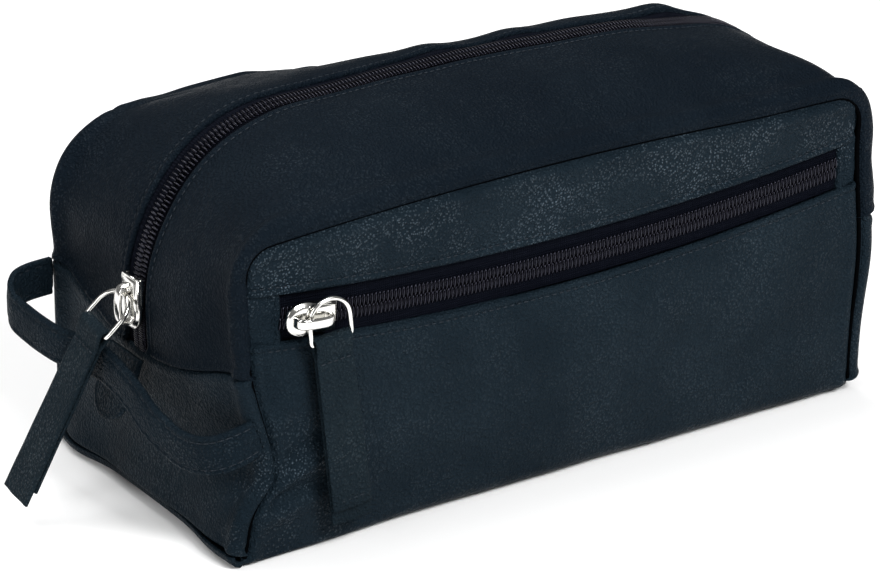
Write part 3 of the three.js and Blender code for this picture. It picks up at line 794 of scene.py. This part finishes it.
def front_upper_strip():
    def place(a, b, c):
        top = seam_top(a, -HALF_DEPTH)
        x = top.x
        z = mix(pocket_top(x), top.z, eased(b))
        sides = min(x - SEAM_LEFT, SEAM_RIGHT - x) - PANEL_INSET
        upper = top.z - z
        lower = z - pocket_top(x)
        rim = min(sides, upper) if sides > 0 else 0
        out = bulge(x, z, 84, 112) * 0.7
        out += softness(x, -HALF_DEPTH, z) * step(0, 6, rim) * step(0, 4, lower)
        out += 0.9 * hump(upper - 4, 3) * step(2, 10, sides)
        out -= panel_edge(max(0, rim)) + turned_edge(lower, 2.8)
        return Vector((x, -HALF_DEPTH - out + LEATHER * c, z))

    stand_in("front_upper_strip", sheet(300, 40, place), panel_leather)
    pocket_stitches("pocket_stitches_upper", lambda x: pocket_top(x) + 2.8,
                    lambda x, z: bulge(x, z, 84, 112) * 0.7, step(0, 4, 2.8), 0.2)


def front_groove_shade():
    """A near-black tube at the bottom of the groove all round the front: painted shade that stands in for
    the groove's shadow.
    """
    up = [Vector((seam_left(z) + 1.7 - 1.8 * hump(z, 7), 0, z)) for z in range(3, 94, 3)]
    top = [skin(1 + n / 24, -HALF_DEPTH, 2.3) for n in range(4, 73)]
    right = SEAM_RIGHT - 1.9
    down = [Vector((right + right_swell(-HALF_DEPTH, z), 0, z)) for z in range(92, 2, -3)]
    points = [Vector((p.x, -57.3, p.z)) for p in up + top + down]
    # the tube is painted shade in the groove, not a real seam part
    make("front_groove_shade", tube(points, 0.85, 8), painted_groove_shade, "root")


def back_panel():
    def place(a, b, c):
        top = seam_top(a, HALF_DEPTH)
        z = mix(0.4, top.z, eased(b))
        x = top.x
        sides = min(x - SEAM_LEFT, SEAM_RIGHT - x) - PANEL_INSET
        rim = max(0, min(sides, top.z - z))
        out = bulge(x, z, 0, 112) * 1.2
        out += softness(x, HALF_DEPTH, z) * 1.3 * step(0, 8, rim) * step(0, 8, z)
        out -= panel_edge(rim) + bottom_edge(x, z)
        return Vector((x, HALF_DEPTH + out - LEATHER * c, z))

    stand_in("back_panel", sheet(300, 90, place), panel_leather)


def end_panel(side):
    name = "end_panel_left" if side < 0 else "end_panel_right"

    def place(a, b, c):
        # both side edges are rolled like the gusset's
        roll = 0.08
        rolled = min(a, 1 - a) < roll
        if rolled:
            y, out = ridge(1 - min(a, 1 - a) / roll)
            y = copysign(y, a - 0.5)
        else:
            y = mix(-RIDGE_EDGE, RIDGE_EDGE, (a - roll) / (1 - 2 * roll))
            out = beside_ridge(abs(y))
        clipped = max(-HALF_DEPTH, min(HALF_DEPTH, y))
        low = BASE_TURN_UP + GAP
        high = end_seam(clipped) + 0.4
        z = mix(low, high, eased(b))
        o = outline_at(clipped, 0)
        out += softness(o["left"] * side, y, z) * step(57, 48, abs(y)) - LEATHER * c
        out -= rounded_edge(high - z, 1.4) * 1.3 + rounded_edge(z - low, 1.3)
        out += 0.7 * hump(z - low - 1.8, 1.6) + 0.5 * hump(high - z - 2.4, 1.6)
        if side < 0:
            out -= 2.4 * hump(z - 26, 15) * hump(y + 22, 26)
            out += hump(z - 10, 5) * hump(y, 40) + low_swell(y, z)
            x = o["left"] + pinch(z) * pinch_across(clipped) - out
        else:
            out += 5.0 * hump(z - 52, 20) * hump(y + 42, 14) + right_swell(clipped, z)
            x = o["right"] + out
        return Vector((x, y - copysign(0.6 * LEATHER * c if rolled else 0, y), z))

    stand_in(name, sheet(120, 56, place), panel_leather)


def base_panel():
    half = 121

    def place(a, b, c):
        across = eased(a) * 2 - 1
        edge = mix(57.4, 53.5, step(-112, -40, across * half))
        y = mix(-edge, edge, b)
        depth = LEATHER * c
        reach = abs(across)
        turn_share = 0.9
        radius = BASE_TURN_UP - depth
        end = half - BASE_TURN_UP + (1.4 - fullness(y) if across < 0 else 0)
        if reach < turn_share:
            x = across / turn_share * end
            z = depth
        else:
            turn = (reach - turn_share) / (1 - turn_share) * pi / 2
            x = copysign(end + radius * sin(turn), across)
            z = BASE_TURN_UP - radius * cos(turn)
        x += (pinch(z) * pinch_across(y) - low_swell(y, z)) * step(0.5, 1, -across)
        lift = rounded_edge(edge - abs(y), 1.2) * 0.6
        return Vector((x, y, z + lift * (1 if reach < turn_share else 0)))

    stand_in("base_panel", sheet(160, 40, place), panel_leather)


# ---- the front pocket ----

def pocket_tabs():
    for name, seam_x, free_x in (("pocket_tab_left", SEAM_LEFT + 1.2, POCKET_LEFT),
                                 ("pocket_tab_right", SEAM_RIGHT - 1.2, POCKET_RIGHT)):
        def place(a, b, c):
            x = mix(min(seam_x, free_x), max(seam_x, free_x), eased(a))
            z = mix(pocket_sill(x) - 1.5, pocket_top(x) + 1.5, b)
            free = abs(x - free_x)
            seam = abs(x - seam_x)
            out = -0.9 - rounded_edge(free, 0.9) + 0.5 * hump(free - 1.4, 1.0) - rounded_edge(seam, 2.0)
            out += 0.5 * uneven(x, 0, z, 7, 5.0) - 0.35 * hump(free - 2.6, 0.5)
            return Vector((x, -HALF_DEPTH - out + LEATHER * c * 0.8, z))

        stand_in(name, sheet(44, 34, place), panel_leather)


def pocket_tape(upper):
    x0 = POCKET_LEFT - 10
    x1 = POCKET_RIGHT + 6

    def place(a, b, c):
        x = mix(x0, x1, a)
        inner = ROW_INNER - 0.25
        middle = pocket_middle(x)
        if upper:
            z = mix(middle + inner, pocket_top(x) + 5, b)
        else:
            z = mix(middle - TAPE_REACH, middle - inner, b)
        return Vector((x, -HALF_DEPTH + TAPE_DEPTH - ribs(abs(z - middle)) + CLOTH * c, z))

    name = "pocket_tape_upper" if upper else "pocket_tape_lower"
    stand_in(name, sheet(200, 56 if upper else 40, place), tape_cloth)


def pocket_zip_line(t):
    x = mix(POCKET_LEFT - 1, POCKET_RIGHT + 1, t)
    slope = (x - POCKET_ARC_X) / POCKET_ARC_RADIUS
    along = Vector((1, 0, slope)).normalized()
    here = Vector((x, -HALF_DEPTH + ROW_PROUD, pocket_middle(x)))
    return here, along, Vector((-along.z, 0, along.x)), Vector((0, -1, 0))


def pocket_coils():
    for name, side in (("pocket_coil_upper", 1), ("pocket_coil_lower", -1)):
        places = coil_places(pocket_zip_line, POCKET_RIGHT - POCKET_LEFT, side)
        stand_in(name, strewn(coil_turn(), places), coil_nylon)


def pocket_bag():
    """Two sheets of lining behind the front panel, closed round the bottom and open at the zip."""
    y = -HALF_DEPTH

    def wall(y_at, top):
        def place(a, b, c):
            x = mix(-104, 104, a)
            z = mix(14, top, b)
            sag = 0.25 * uneven(x, y_at, z, 18, 1.0) * sin(pi * a) * sin(pi * b)
            return Vector((x, y_at + sag + CLOTH * c, z))

        return sheet(90, 40, place)

    def floor(a, b, c):
        return Vector((mix(-104, 104, a), mix(y + 2.8, y + 6.6, b), 14 + CLOTH * c))

    bag = joined(wall(y + 2.8, 56), wall(y + 6.0, 96), sheet(90, 4, floor))
    stand_in("pocket_bag", bag, lining_cloth)


# ---- lining ----

def linings():
    front = -HALF_DEPTH + 7.2
    back = HALF_DEPTH - 3
    for name, y_at, towards, top in (("lining_front", front, 1, 100), ("lining_back", back, -1, 88)):
        def place(a, b, c):
            x = mix(-108, 108, a)
            z = mix(3.4, top, b)
            loose = (0.5 + 0.5 * uneven(x, y_at, z, 20, 4.0)) * sin(pi * a) * sin(pi * b)
            return Vector((x, y_at + towards * (loose + CLOTH * c), z))

        stand_in(name, sheet(110, 50, place), lining_cloth)

    left = SEAM_LEFT + 5.4 + PINCH * 0.75
    right = SEAM_RIGHT - 5.4
    y0 = front + CLOTH + GAP
    y1 = back - CLOTH - GAP
    height = END_SEAM_MIDDLE - 2
    low = LEATHER + GAP

    def place(a, b, c):
        # up the left end, over the base and up the right end
        length = 2 * (height - low) + right - left
        at = a * length
        rise = height - low
        y = mix(y0, y1, b)
        crease = 0.3 * uneven(at, y, 0, 16, 6.0)
        if at < rise:
            return Vector((left + CLOTH * c, y, height - at))
        if at < rise + right - left:
            return Vector((left + at - rise, y, low + CLOTH * c + max(0, crease)))
        return Vector((right - CLOTH * c, y, low + at - rise - (right - left)))

    stand_in("lining_base", sheet(160, 50, place), lining_cloth)
    for side in (-1, 1):
        def flap(a, b, c):
            u = along_gusset(mix(0.24, 0.82, a))
            y = side * mix(9, 46, b)
            depth = TAPE_DEPTH + CLOTH + GAP + 0.3 + CLOTH * c
            return skin(u, y, depth + 0.4 + 0.4 * uneven(*skin(u, y, 0), 15, 5.0))

        stand_in(f"lining_flap_{SIDE_NAME[side]}", sheet(120, 24, flap), lining_cloth, MOUTH[side])


# ---- sliders, rings and pulls ----
# Each is made lying flat on a zip: +Z is out of the bag and +X points from the slider's nose to its tail.

def shield(length, width, tail, count=9):
    """The slider's outline: a round nose that swells and then runs straight back to the tail."""
    half = length / 2
    side = []
    for n in range(count + 1):
        t = n / count
        s = 1 - t
        x = -half * s**3 + 3 * -half * s * s * t + 3 * -1.5 * s * t * t + 0.5 * t**3
        y = 3 * width / 2 * s * s * t + 3 * width / 2 * s * t * t + tail / 2 * t**3
        side.append((x, y))
    side.append((half, tail / 2))
    return side + [(x, -y) for x, y in reversed(side[1:])]


def plate(outline, z0, z1, dome, edge=0.35):
    """A thick plate of an outline, with a rounded rim and its top raised in the middle."""
    bm = bmesh.new()
    ring = [bm.verts.new((x, y, z0)) for x, y in outline]
    bottom = bm.faces.new(ring)
    grown = bmesh.ops.extrude_face_region(bm, geom=[bottom])["geom"]
    risen = [v for v in grown if isinstance(v, bmesh.types.BMVert)]
    bmesh.ops.translate(bm, vec=(0, 0, z1 - z0), verts=risen)
    rim = [e for e in bm.edges if abs(e.verts[0].co.z - e.verts[1].co.z) < 1e-6]
    bmesh.ops.bevel(bm, geom=rim, offset=edge, segments=3, profile=0.5, affect="EDGES", material=-1)

    def top_face():
        return max(bm.faces, key=lambda f: f.calc_center_median().z + 0.001 * f.calc_area())

    for inset, share in ((0.3, 0.45), (0.85, 0.3), (0.85, 0.17), (0.85, 0.08)):
        bmesh.ops.inset_region(bm, faces=[top_face()], thickness=inset, use_even_offset=True)
        bmesh.ops.translate(bm, vec=(0, 0, dome * share), verts=top_face().verts)
    return bm


def stretch_of(points, t):
    """Where t, from 0 to 1, falls between the second and the last point but one: the share of its stretch
    that is behind it, and the four points round it."""
    at = t * (len(points) - 3)
    n = min(int(at), len(points) - 4)
    return at - n, *points[n:n + 4]


def smooth_curve(t, p0, p1, p2, p3):
    """A curve from p1 to p2 that runs on smoothly through points on either side."""
    return 0.5 * (2 * p1 + (p2 - p0) * t + (2 * p0 - 5 * p1 + 4 * p2 - p3) * t * t
                  + (3 * p1 - p0 - 3 * p2 + p3) * t**3)


def ribbon(points, width, thickness):
    """A strap of metal through points in the XZ plane, with rounded corners."""
    points = [Vector(points[0]), *map(Vector, points), Vector(points[-1])]

    def place(a, b, c):
        t, p0, p1, p2, p3 = stretch_of(points, a)
        here = smooth_curve(t, p0, p1, p2, p3)
        way = (p2 - p0) * (1 - t) + (p3 - p1) * t
        out = Vector((-way.y, way.x)).normalized()
        y = mix(-width / 2, width / 2, b)
        crown = thickness * (0.5 - c) - (0.25 if c < 0.5 else -0.1) * (2 * b - 1) ** 4
        return Vector((here.x + out.x * crown, y, here.y + out.y * crown))

    return sheet(36, 8, place)


def block(size, at, edge=0):
    """A box, with its edges rounded if edge says how far."""
    bm = bmesh.new()
    bmesh.ops.create_cube(bm, size=1)
    bmesh.ops.scale(bm, vec=size, verts=bm.verts)
    if edge:
        bmesh.ops.bevel(bm, geom=bm.edges[:], offset=edge, segments=2, profile=0.5, affect="EDGES",
                        material=-1)
    bmesh.ops.translate(bm, vec=at, verts=bm.verts)
    return bm


def slider_body():
    half = SLIDER_LENGTH / 2
    top = plate(shield(SLIDER_LENGTH, SLIDER_WIDTH, SLIDER_TAIL_WIDTH), 1.5, 2.9, 0.9)
    under = plate(shield(SLIDER_LENGTH - 1, SLIDER_WIDTH - 0.4, SLIDER_TAIL_WIDTH), -4.9, -3.6, 0.1)
    parts = [top, under]
    # the rims that keep the coil inside
    length = half + 1.5
    for side in (-1, 1):
        at = (half - length / 2 - 0.2, side * (SLIDER_TAIL_WIDTH / 2 - 0.45), 1.15)
        parts.append(block((length, 0.8, 1.6), at, 0.25))
    parts.append(block((3.4, 0.7, 7.2), (-half + 4.3, 0, -1.0)))
    arch = [(-6.6, 2.6), (-6.5, 4.6), (-5.7, 6.5), (-3.6, 7.25), (0, 7.4), (3.4, 7.1), (5.5, 6.1),
            (6.2, 4.4), (6.3, 2.6)]
    parts.append(ribbon(arch, 3.2, 1.2))
    return joined(*parts)


def ring_wire():
    half = RING_WIDTH / 2
    points = [(half * (1 - cos(radians(turn))), half * sin(radians(turn)), 0)
              for turn in range(-90, 91, 15)]
    points += [(x, half, 0) for x in (9.5, 11.5, 13.2)]
    points += [(RING_HEIGHT, y, 0) for y in (half - 0.4, half - 1.6, 3, 0, -3, -half + 1.6, -half + 0.4)]
    points += [(x, -half, 0) for x in (13.2, 11.5, 9.5)]
    return tube(points, WIRE, 12, closed=True)


def pull_strip():
    """A leather strip folded over the ring's bar, which is at the origin, hanging along +X. The layer
    underneath is a little longer than the one on top."""
    middle = WIRE + GAP + PULL_LAYER / 2
    arc = pi * middle
    total = PULL_LENGTH + arc + PULL_LENGTH - 5

    def layer(x, way):
        """The middle of the upper (1) or lower (-1) layer: both close in under the bar."""
        return Vector((x, 0, way * mix(middle, PULL_LAYER / 2 + 0.03, step(0, 5.5, x)))), Vector((0, 0, way))

    def centre(at):
        """The strip's middle line and its way out, at a distance along it."""
        if at < PULL_LENGTH:
            return layer(PULL_LENGTH - at, -1)
        if at < PULL_LENGTH + arc:
            turn = (at - PULL_LENGTH) / middle
            out = Vector((-sin(turn), 0, -cos(turn)))
            return out * middle, out
        return layer(at - PULL_LENGTH - arc, 1)

    def place(a, b, c):
        here, out = centre(a * total)
        width = PULL_WIDTH + 1.4 * abs(here.x) / PULL_LENGTH
        y = mix(-width / 2, width / 2, eased(b))
        rim = width / 2 - abs(y)
        thick = PULL_LAYER * (0.5 - c)
        thick -= 0.22 * hump(rim, 0.35) * (1 if c < 0.5 else -1)
        wave = 0.25 * uneven(here.x, y, 0 if out.z < 0 else 9, 12, 2.2) * step(4, 14, here.x)
        press = 0.3 * hump(here.x - 6.2, 0.9) * (1 if c < 0.5 else 0)
        end_wave = 0.3 * uneven(0, y, 0, 6, 3.0) * step(40, 60, here.x)
        return here + out * (thick - press) + Vector((end_wave, y, wave * 0.5))

    return sheet(190, 14, place)


def placed(bm, place):
    bmesh.ops.transform(bm, matrix=place, verts=bm.verts)
    return bm


def pull_stitches(name, place, body):
    """Short rows across the pull: under the fold and near the end."""
    spots = []
    for along, count in ((6.6, 5), (PULL_LENGTH - 8, 4)):
        for n in range(count):
            across = (n - (count - 1) / 2) * 2.3
            for face in (-1, 1):
                spots.append(place @ Matrix.Translation((along, across, face * (PULL_LAYER - 0.05)))
                             @ Matrix.Rotation(pi / 2, 4, "Z"))
    make(name, strewn(stitch_shape(1.9), spots), thread, body)


RING_DROP = 45  # degrees below level
MAIN_PULL_LEAN = 23.4  # degrees out from straight down
MAIN_ROLL = 10  # degrees that ring and pull are turned, their back edges up
MAIN_BOW_ABOVE = 3.3  # from the slider's middle to the ring's bow
POCKET_PULL_TILT = 5  # degrees towards the right
POCKET_PULL_LEAN = 2.6  # degrees out from the panel
POCKET_LEG_LEFT = 1.6  # from the slider's middle to the ring's leg in its arch
POCKET_BOW_ABOVE = 5.5  # from that leg's middle to the ring's bow
POCKET_BOW_ACROSS = 6.9


def ring_and_pull(which, bow, hang, across, out, down):
    """The wire ring through a slider's arch, and the leather pull folded over the ring's bar."""
    ring = f"{which}_ring"
    wire = placed(ring_wire(), seat(bow, hang, across, out))
    stand_in(ring, wire, nickel, ring)
    bar = seat(bow + hang * RING_HEIGHT, down, across, down.cross(across))
    pull = f"{which}_pull"
    stand_in(pull, placed(pull_strip(), bar), pull_leather, pull)
    pull_stitches(f"{pull}_stitches", bar, pull)


def main_slider():
    face = ZIP_OUTLINE["left"]
    middle = ZIP_OUTLINE["left_rise"]
    body = placed(slider_body(), seat((face, 0, middle), (0, 0, 1), (0, 1, 0), (-1, 0, 0)))
    stand_in("main_slider", body, nickel, "main_slider")
    roll = radians(MAIN_ROLL)
    across = Vector((0, cos(roll), sin(roll)))

    def below(degrees):
        """A direction at right angles to across, this far below level."""
        angle = radians(degrees)
        return Vector((-cos(angle), sin(angle) * sin(roll), -sin(angle) * cos(roll)))

    hang = below(RING_DROP)
    bow = Vector((face - HOLE_MIDDLE, 0, middle + MAIN_BOW_ABOVE))
    ring_and_pull("main", bow, hang, across, hang.cross(across), below(90 - MAIN_PULL_LEAN))


def pocket_slider():
    middle = pocket_middle(POCKET_SLIDER_X)
    turn = asin((POCKET_SLIDER_X - POCKET_ARC_X) / POCKET_ARC_RADIUS)
    along = (cos(turn), 0, sin(turn))
    up = (-sin(turn), 0, cos(turn))
    place = seat((POCKET_SLIDER_X, -HALF_DEPTH, middle), along, up, (0, -1, 0))
    stand_in("pocket_slider", placed(slider_body(), place), nickel, "pocket_slider")
    tilt = radians(POCKET_PULL_TILT)
    lean = radians(POCKET_PULL_LEAN)
    hang = Vector((sin(tilt), 0, -cos(tilt)))
    across = Vector((cos(tilt), 0, sin(tilt)))
    leg = Vector((POCKET_SLIDER_X - POCKET_LEG_LEFT, -HALF_DEPTH - HOLE_MIDDLE, middle))
    bow = leg - hang * POCKET_BOW_ABOVE + across * POCKET_BOW_ACROSS
    down = (hang + Vector((0, -sin(lean), 0))).normalized()
    ring_and_pull("pocket", bow, hang, across, (0, -1, 0), down)


# ---- the carry strap and the zip's end tab ----

STRAP_POINTS = [Vector(point) for point in STRAP_MIDDLE]
STRAP_POINTS.insert(0, 2 * STRAP_POINTS[0] - STRAP_POINTS[1])
STRAP_POINTS.append(2 * STRAP_POINTS[-1] - STRAP_POINTS[-2])


def strap_middle(t):
    return smooth_curve(*stretch_of(STRAP_POINTS, t))


def strap_frame(t):
    here = strap_middle(t)
    along = (strap_middle(min(1, t + 0.004)) - strap_middle(max(0, t - 0.004))).normalized()
    wide = (Vector((0, 0, 1)) - along * along.z).normalized()
    return here, along, wide, along.cross(wide)


STRAP_LENGTH = 143
STRAP_BLEND = ("root", "carry_strap", (-0.116, 0, 0), (-0.132, 0, 0))


def carry_strap():
    """Two layers of leather sewn together along both edges, with raw edges."""
    half = STRAP_WIDTH / 2

    def place(a, b, c):
        t = mix(0.006, 0.994, a)
        here, _, wide, thick = strap_frame(t)
        y = mix(-half, half, eased(b))
        rim = half - abs(y)
        # worn at the rim, pressed in under the stitches and full in the middle
        fat = STRAP_THICKNESS / 2 - 0.35 * hump(rim, 0.5) - 0.3 * hump(rim - 1.8, 0.45)
        fat += 0.25 * step(1.5, 4, rim) + 0.12 * uneven(here.x, here.y, here.z + y, 6, 4.4)
        return here + wide * y + thick * fat * (1 - 2 * c)

    stand_in("carry_strap", sheet(260, 26, place), strap_leather, STRAP_BLEND)
    for edge in (-1, 1):
        for face in (-1, 1):
            def line(t):
                here, _, wide, thick = strap_frame(mix(0.02, 0.98, t))
                surface = thick * (face * (STRAP_THICKNESS / 2 - 0.22))
                return here + wide * (edge * (half - 1.8)) + surface, thick * face

            name = f"strap_stitches_{'low' if edge < 0 else 'high'}_{'in' if face < 0 else 'out'}"
            stitches(name, line, STRAP_LENGTH, STRAP_BLEND, pitch=4.6, size=2.6)


TAB_WIDTH = 20
TAB_LENGTH = 23
TAB_LEAN = 22


def zip_end_tab():
    half = TAB_WIDTH / 2

    def place(a, b, c):
        x = -TAB_LENGTH * eased(a)
        short = max(0, -x - (TAB_LENGTH - half))
        width = sqrt(max(0.01, half**2 - short**2)) if short else half
        y = mix(-width, width, eased(b))
        rim = min(width - abs(y), TAB_LENGTH + x + 0.2)
        fat = 0.9 - 0.3 * hump(rim, 0.4) - 0.2 * hump(rim - 1.9, 0.4) + 0.15 * uneven(x, y, 0, 8, 1.7)
        return Vector((y, x, 0.9 + fat * (1 - 2 * c)))

    hang = (Matrix.Translation((ZIP_OUTLINE["left"] - 2.2, 3, END_SEAM_MIDDLE - 1))
            @ Matrix.Rotation(radians(TAB_LEAN), 4, "Y")
            @ Matrix.Rotation(-pi / 2, 4, "Z")
            @ Matrix.Rotation(pi / 2, 4, "X"))
    stand_in("zip_end_tab", placed(sheet(50, 30, place), hang), strap_leather, "root")


# ---- camera, light and floor ----

def camera_and_light():
    scene = bpy.context.scene
    azimuth = radians(-33.2)
    elevation = radians(23.5)
    target = Vector((-8.8, 0, 47.0)) * MM
    back = Vector((sin(azimuth) * cos(elevation), -cos(azimuth) * cos(elevation),
                   sin(elevation)))
    camera = bpy.data.objects.new("camera", bpy.data.cameras.new("camera"))
    camera.data.lens = 176.7
    camera.data.sensor_width = 36
    camera.data.clip_end = 20
    camera.location = target + back * 1.42
    camera.rotation_euler = back.to_track_quat("Z", "Y").to_euler()
    scene.collection.objects.link(camera)
    scene.camera = camera

    floor_bm = bmesh.new()
    bmesh.ops.create_grid(floor_bm, x_segments=1, y_segments=1, size=6)
    mesh = bpy.data.meshes.new("floor")
    floor_bm.to_mesh(mesh)
    floor_bm.free()
    floor = bpy.data.objects.new("floor", mesh)
    floor.location.z = -0.0002
    scene.collection.objects.link(floor)
    paint = bpy.data.materials.new("pale_floor")
    paint.use_nodes = True
    shader = paint.node_tree.nodes["Principled BSDF"]
    shader.inputs["Base Color"].default_value = (0.92, 0.92, 0.92, 1)
    shader.inputs["Roughness"].default_value = 0.9
    mesh.materials.append(paint)

    world = bpy.data.worlds.new("studio")
    scene.world = world
    world.use_nodes = True
    background = world.node_tree.nodes["Background"]
    background.inputs["Color"].default_value = (1, 1, 1, 1)
    background.inputs["Strength"].default_value = 0.17

    for name, at, size, power in (("key", (0.25, -1.45, 1.35), 0.8, 46), ("top", (-0.3, 0.9, 1.9), 1.6, 42),
                                  ("side", (-1.7, -0.3, 0.9), 0.9, 12)):
        light = bpy.data.lights.new(name, "AREA")
        light.size = size
        light.energy = power
        lamp = bpy.data.objects.new(name, light)
        lamp.location = at
        lamp.rotation_euler = (Vector(at) - target).to_track_quat("Z", "Y").to_euler()
        scene.collection.objects.link(lamp)
    scene.view_settings.view_transform = "Standard"


camera_and_light()
for side, edge in ((-1, STRIP_FRONT_EDGE), (1, STRIP_BACK_EDGE)):
    gusset_strip(side, edge)
    zip_tape(side)
    zip_coil(side)
front_lower_panel()
front_upper_strip()
front_groove_shade()
back_panel()
end_panel(-1)
end_panel(1)
base_panel()
pocket_tabs()
pocket_tape(True)
pocket_tape(False)
pocket_coils()
pocket_bag()
linings()
main_slider()
pocket_slider()
carry_strap()
zip_end_tab()
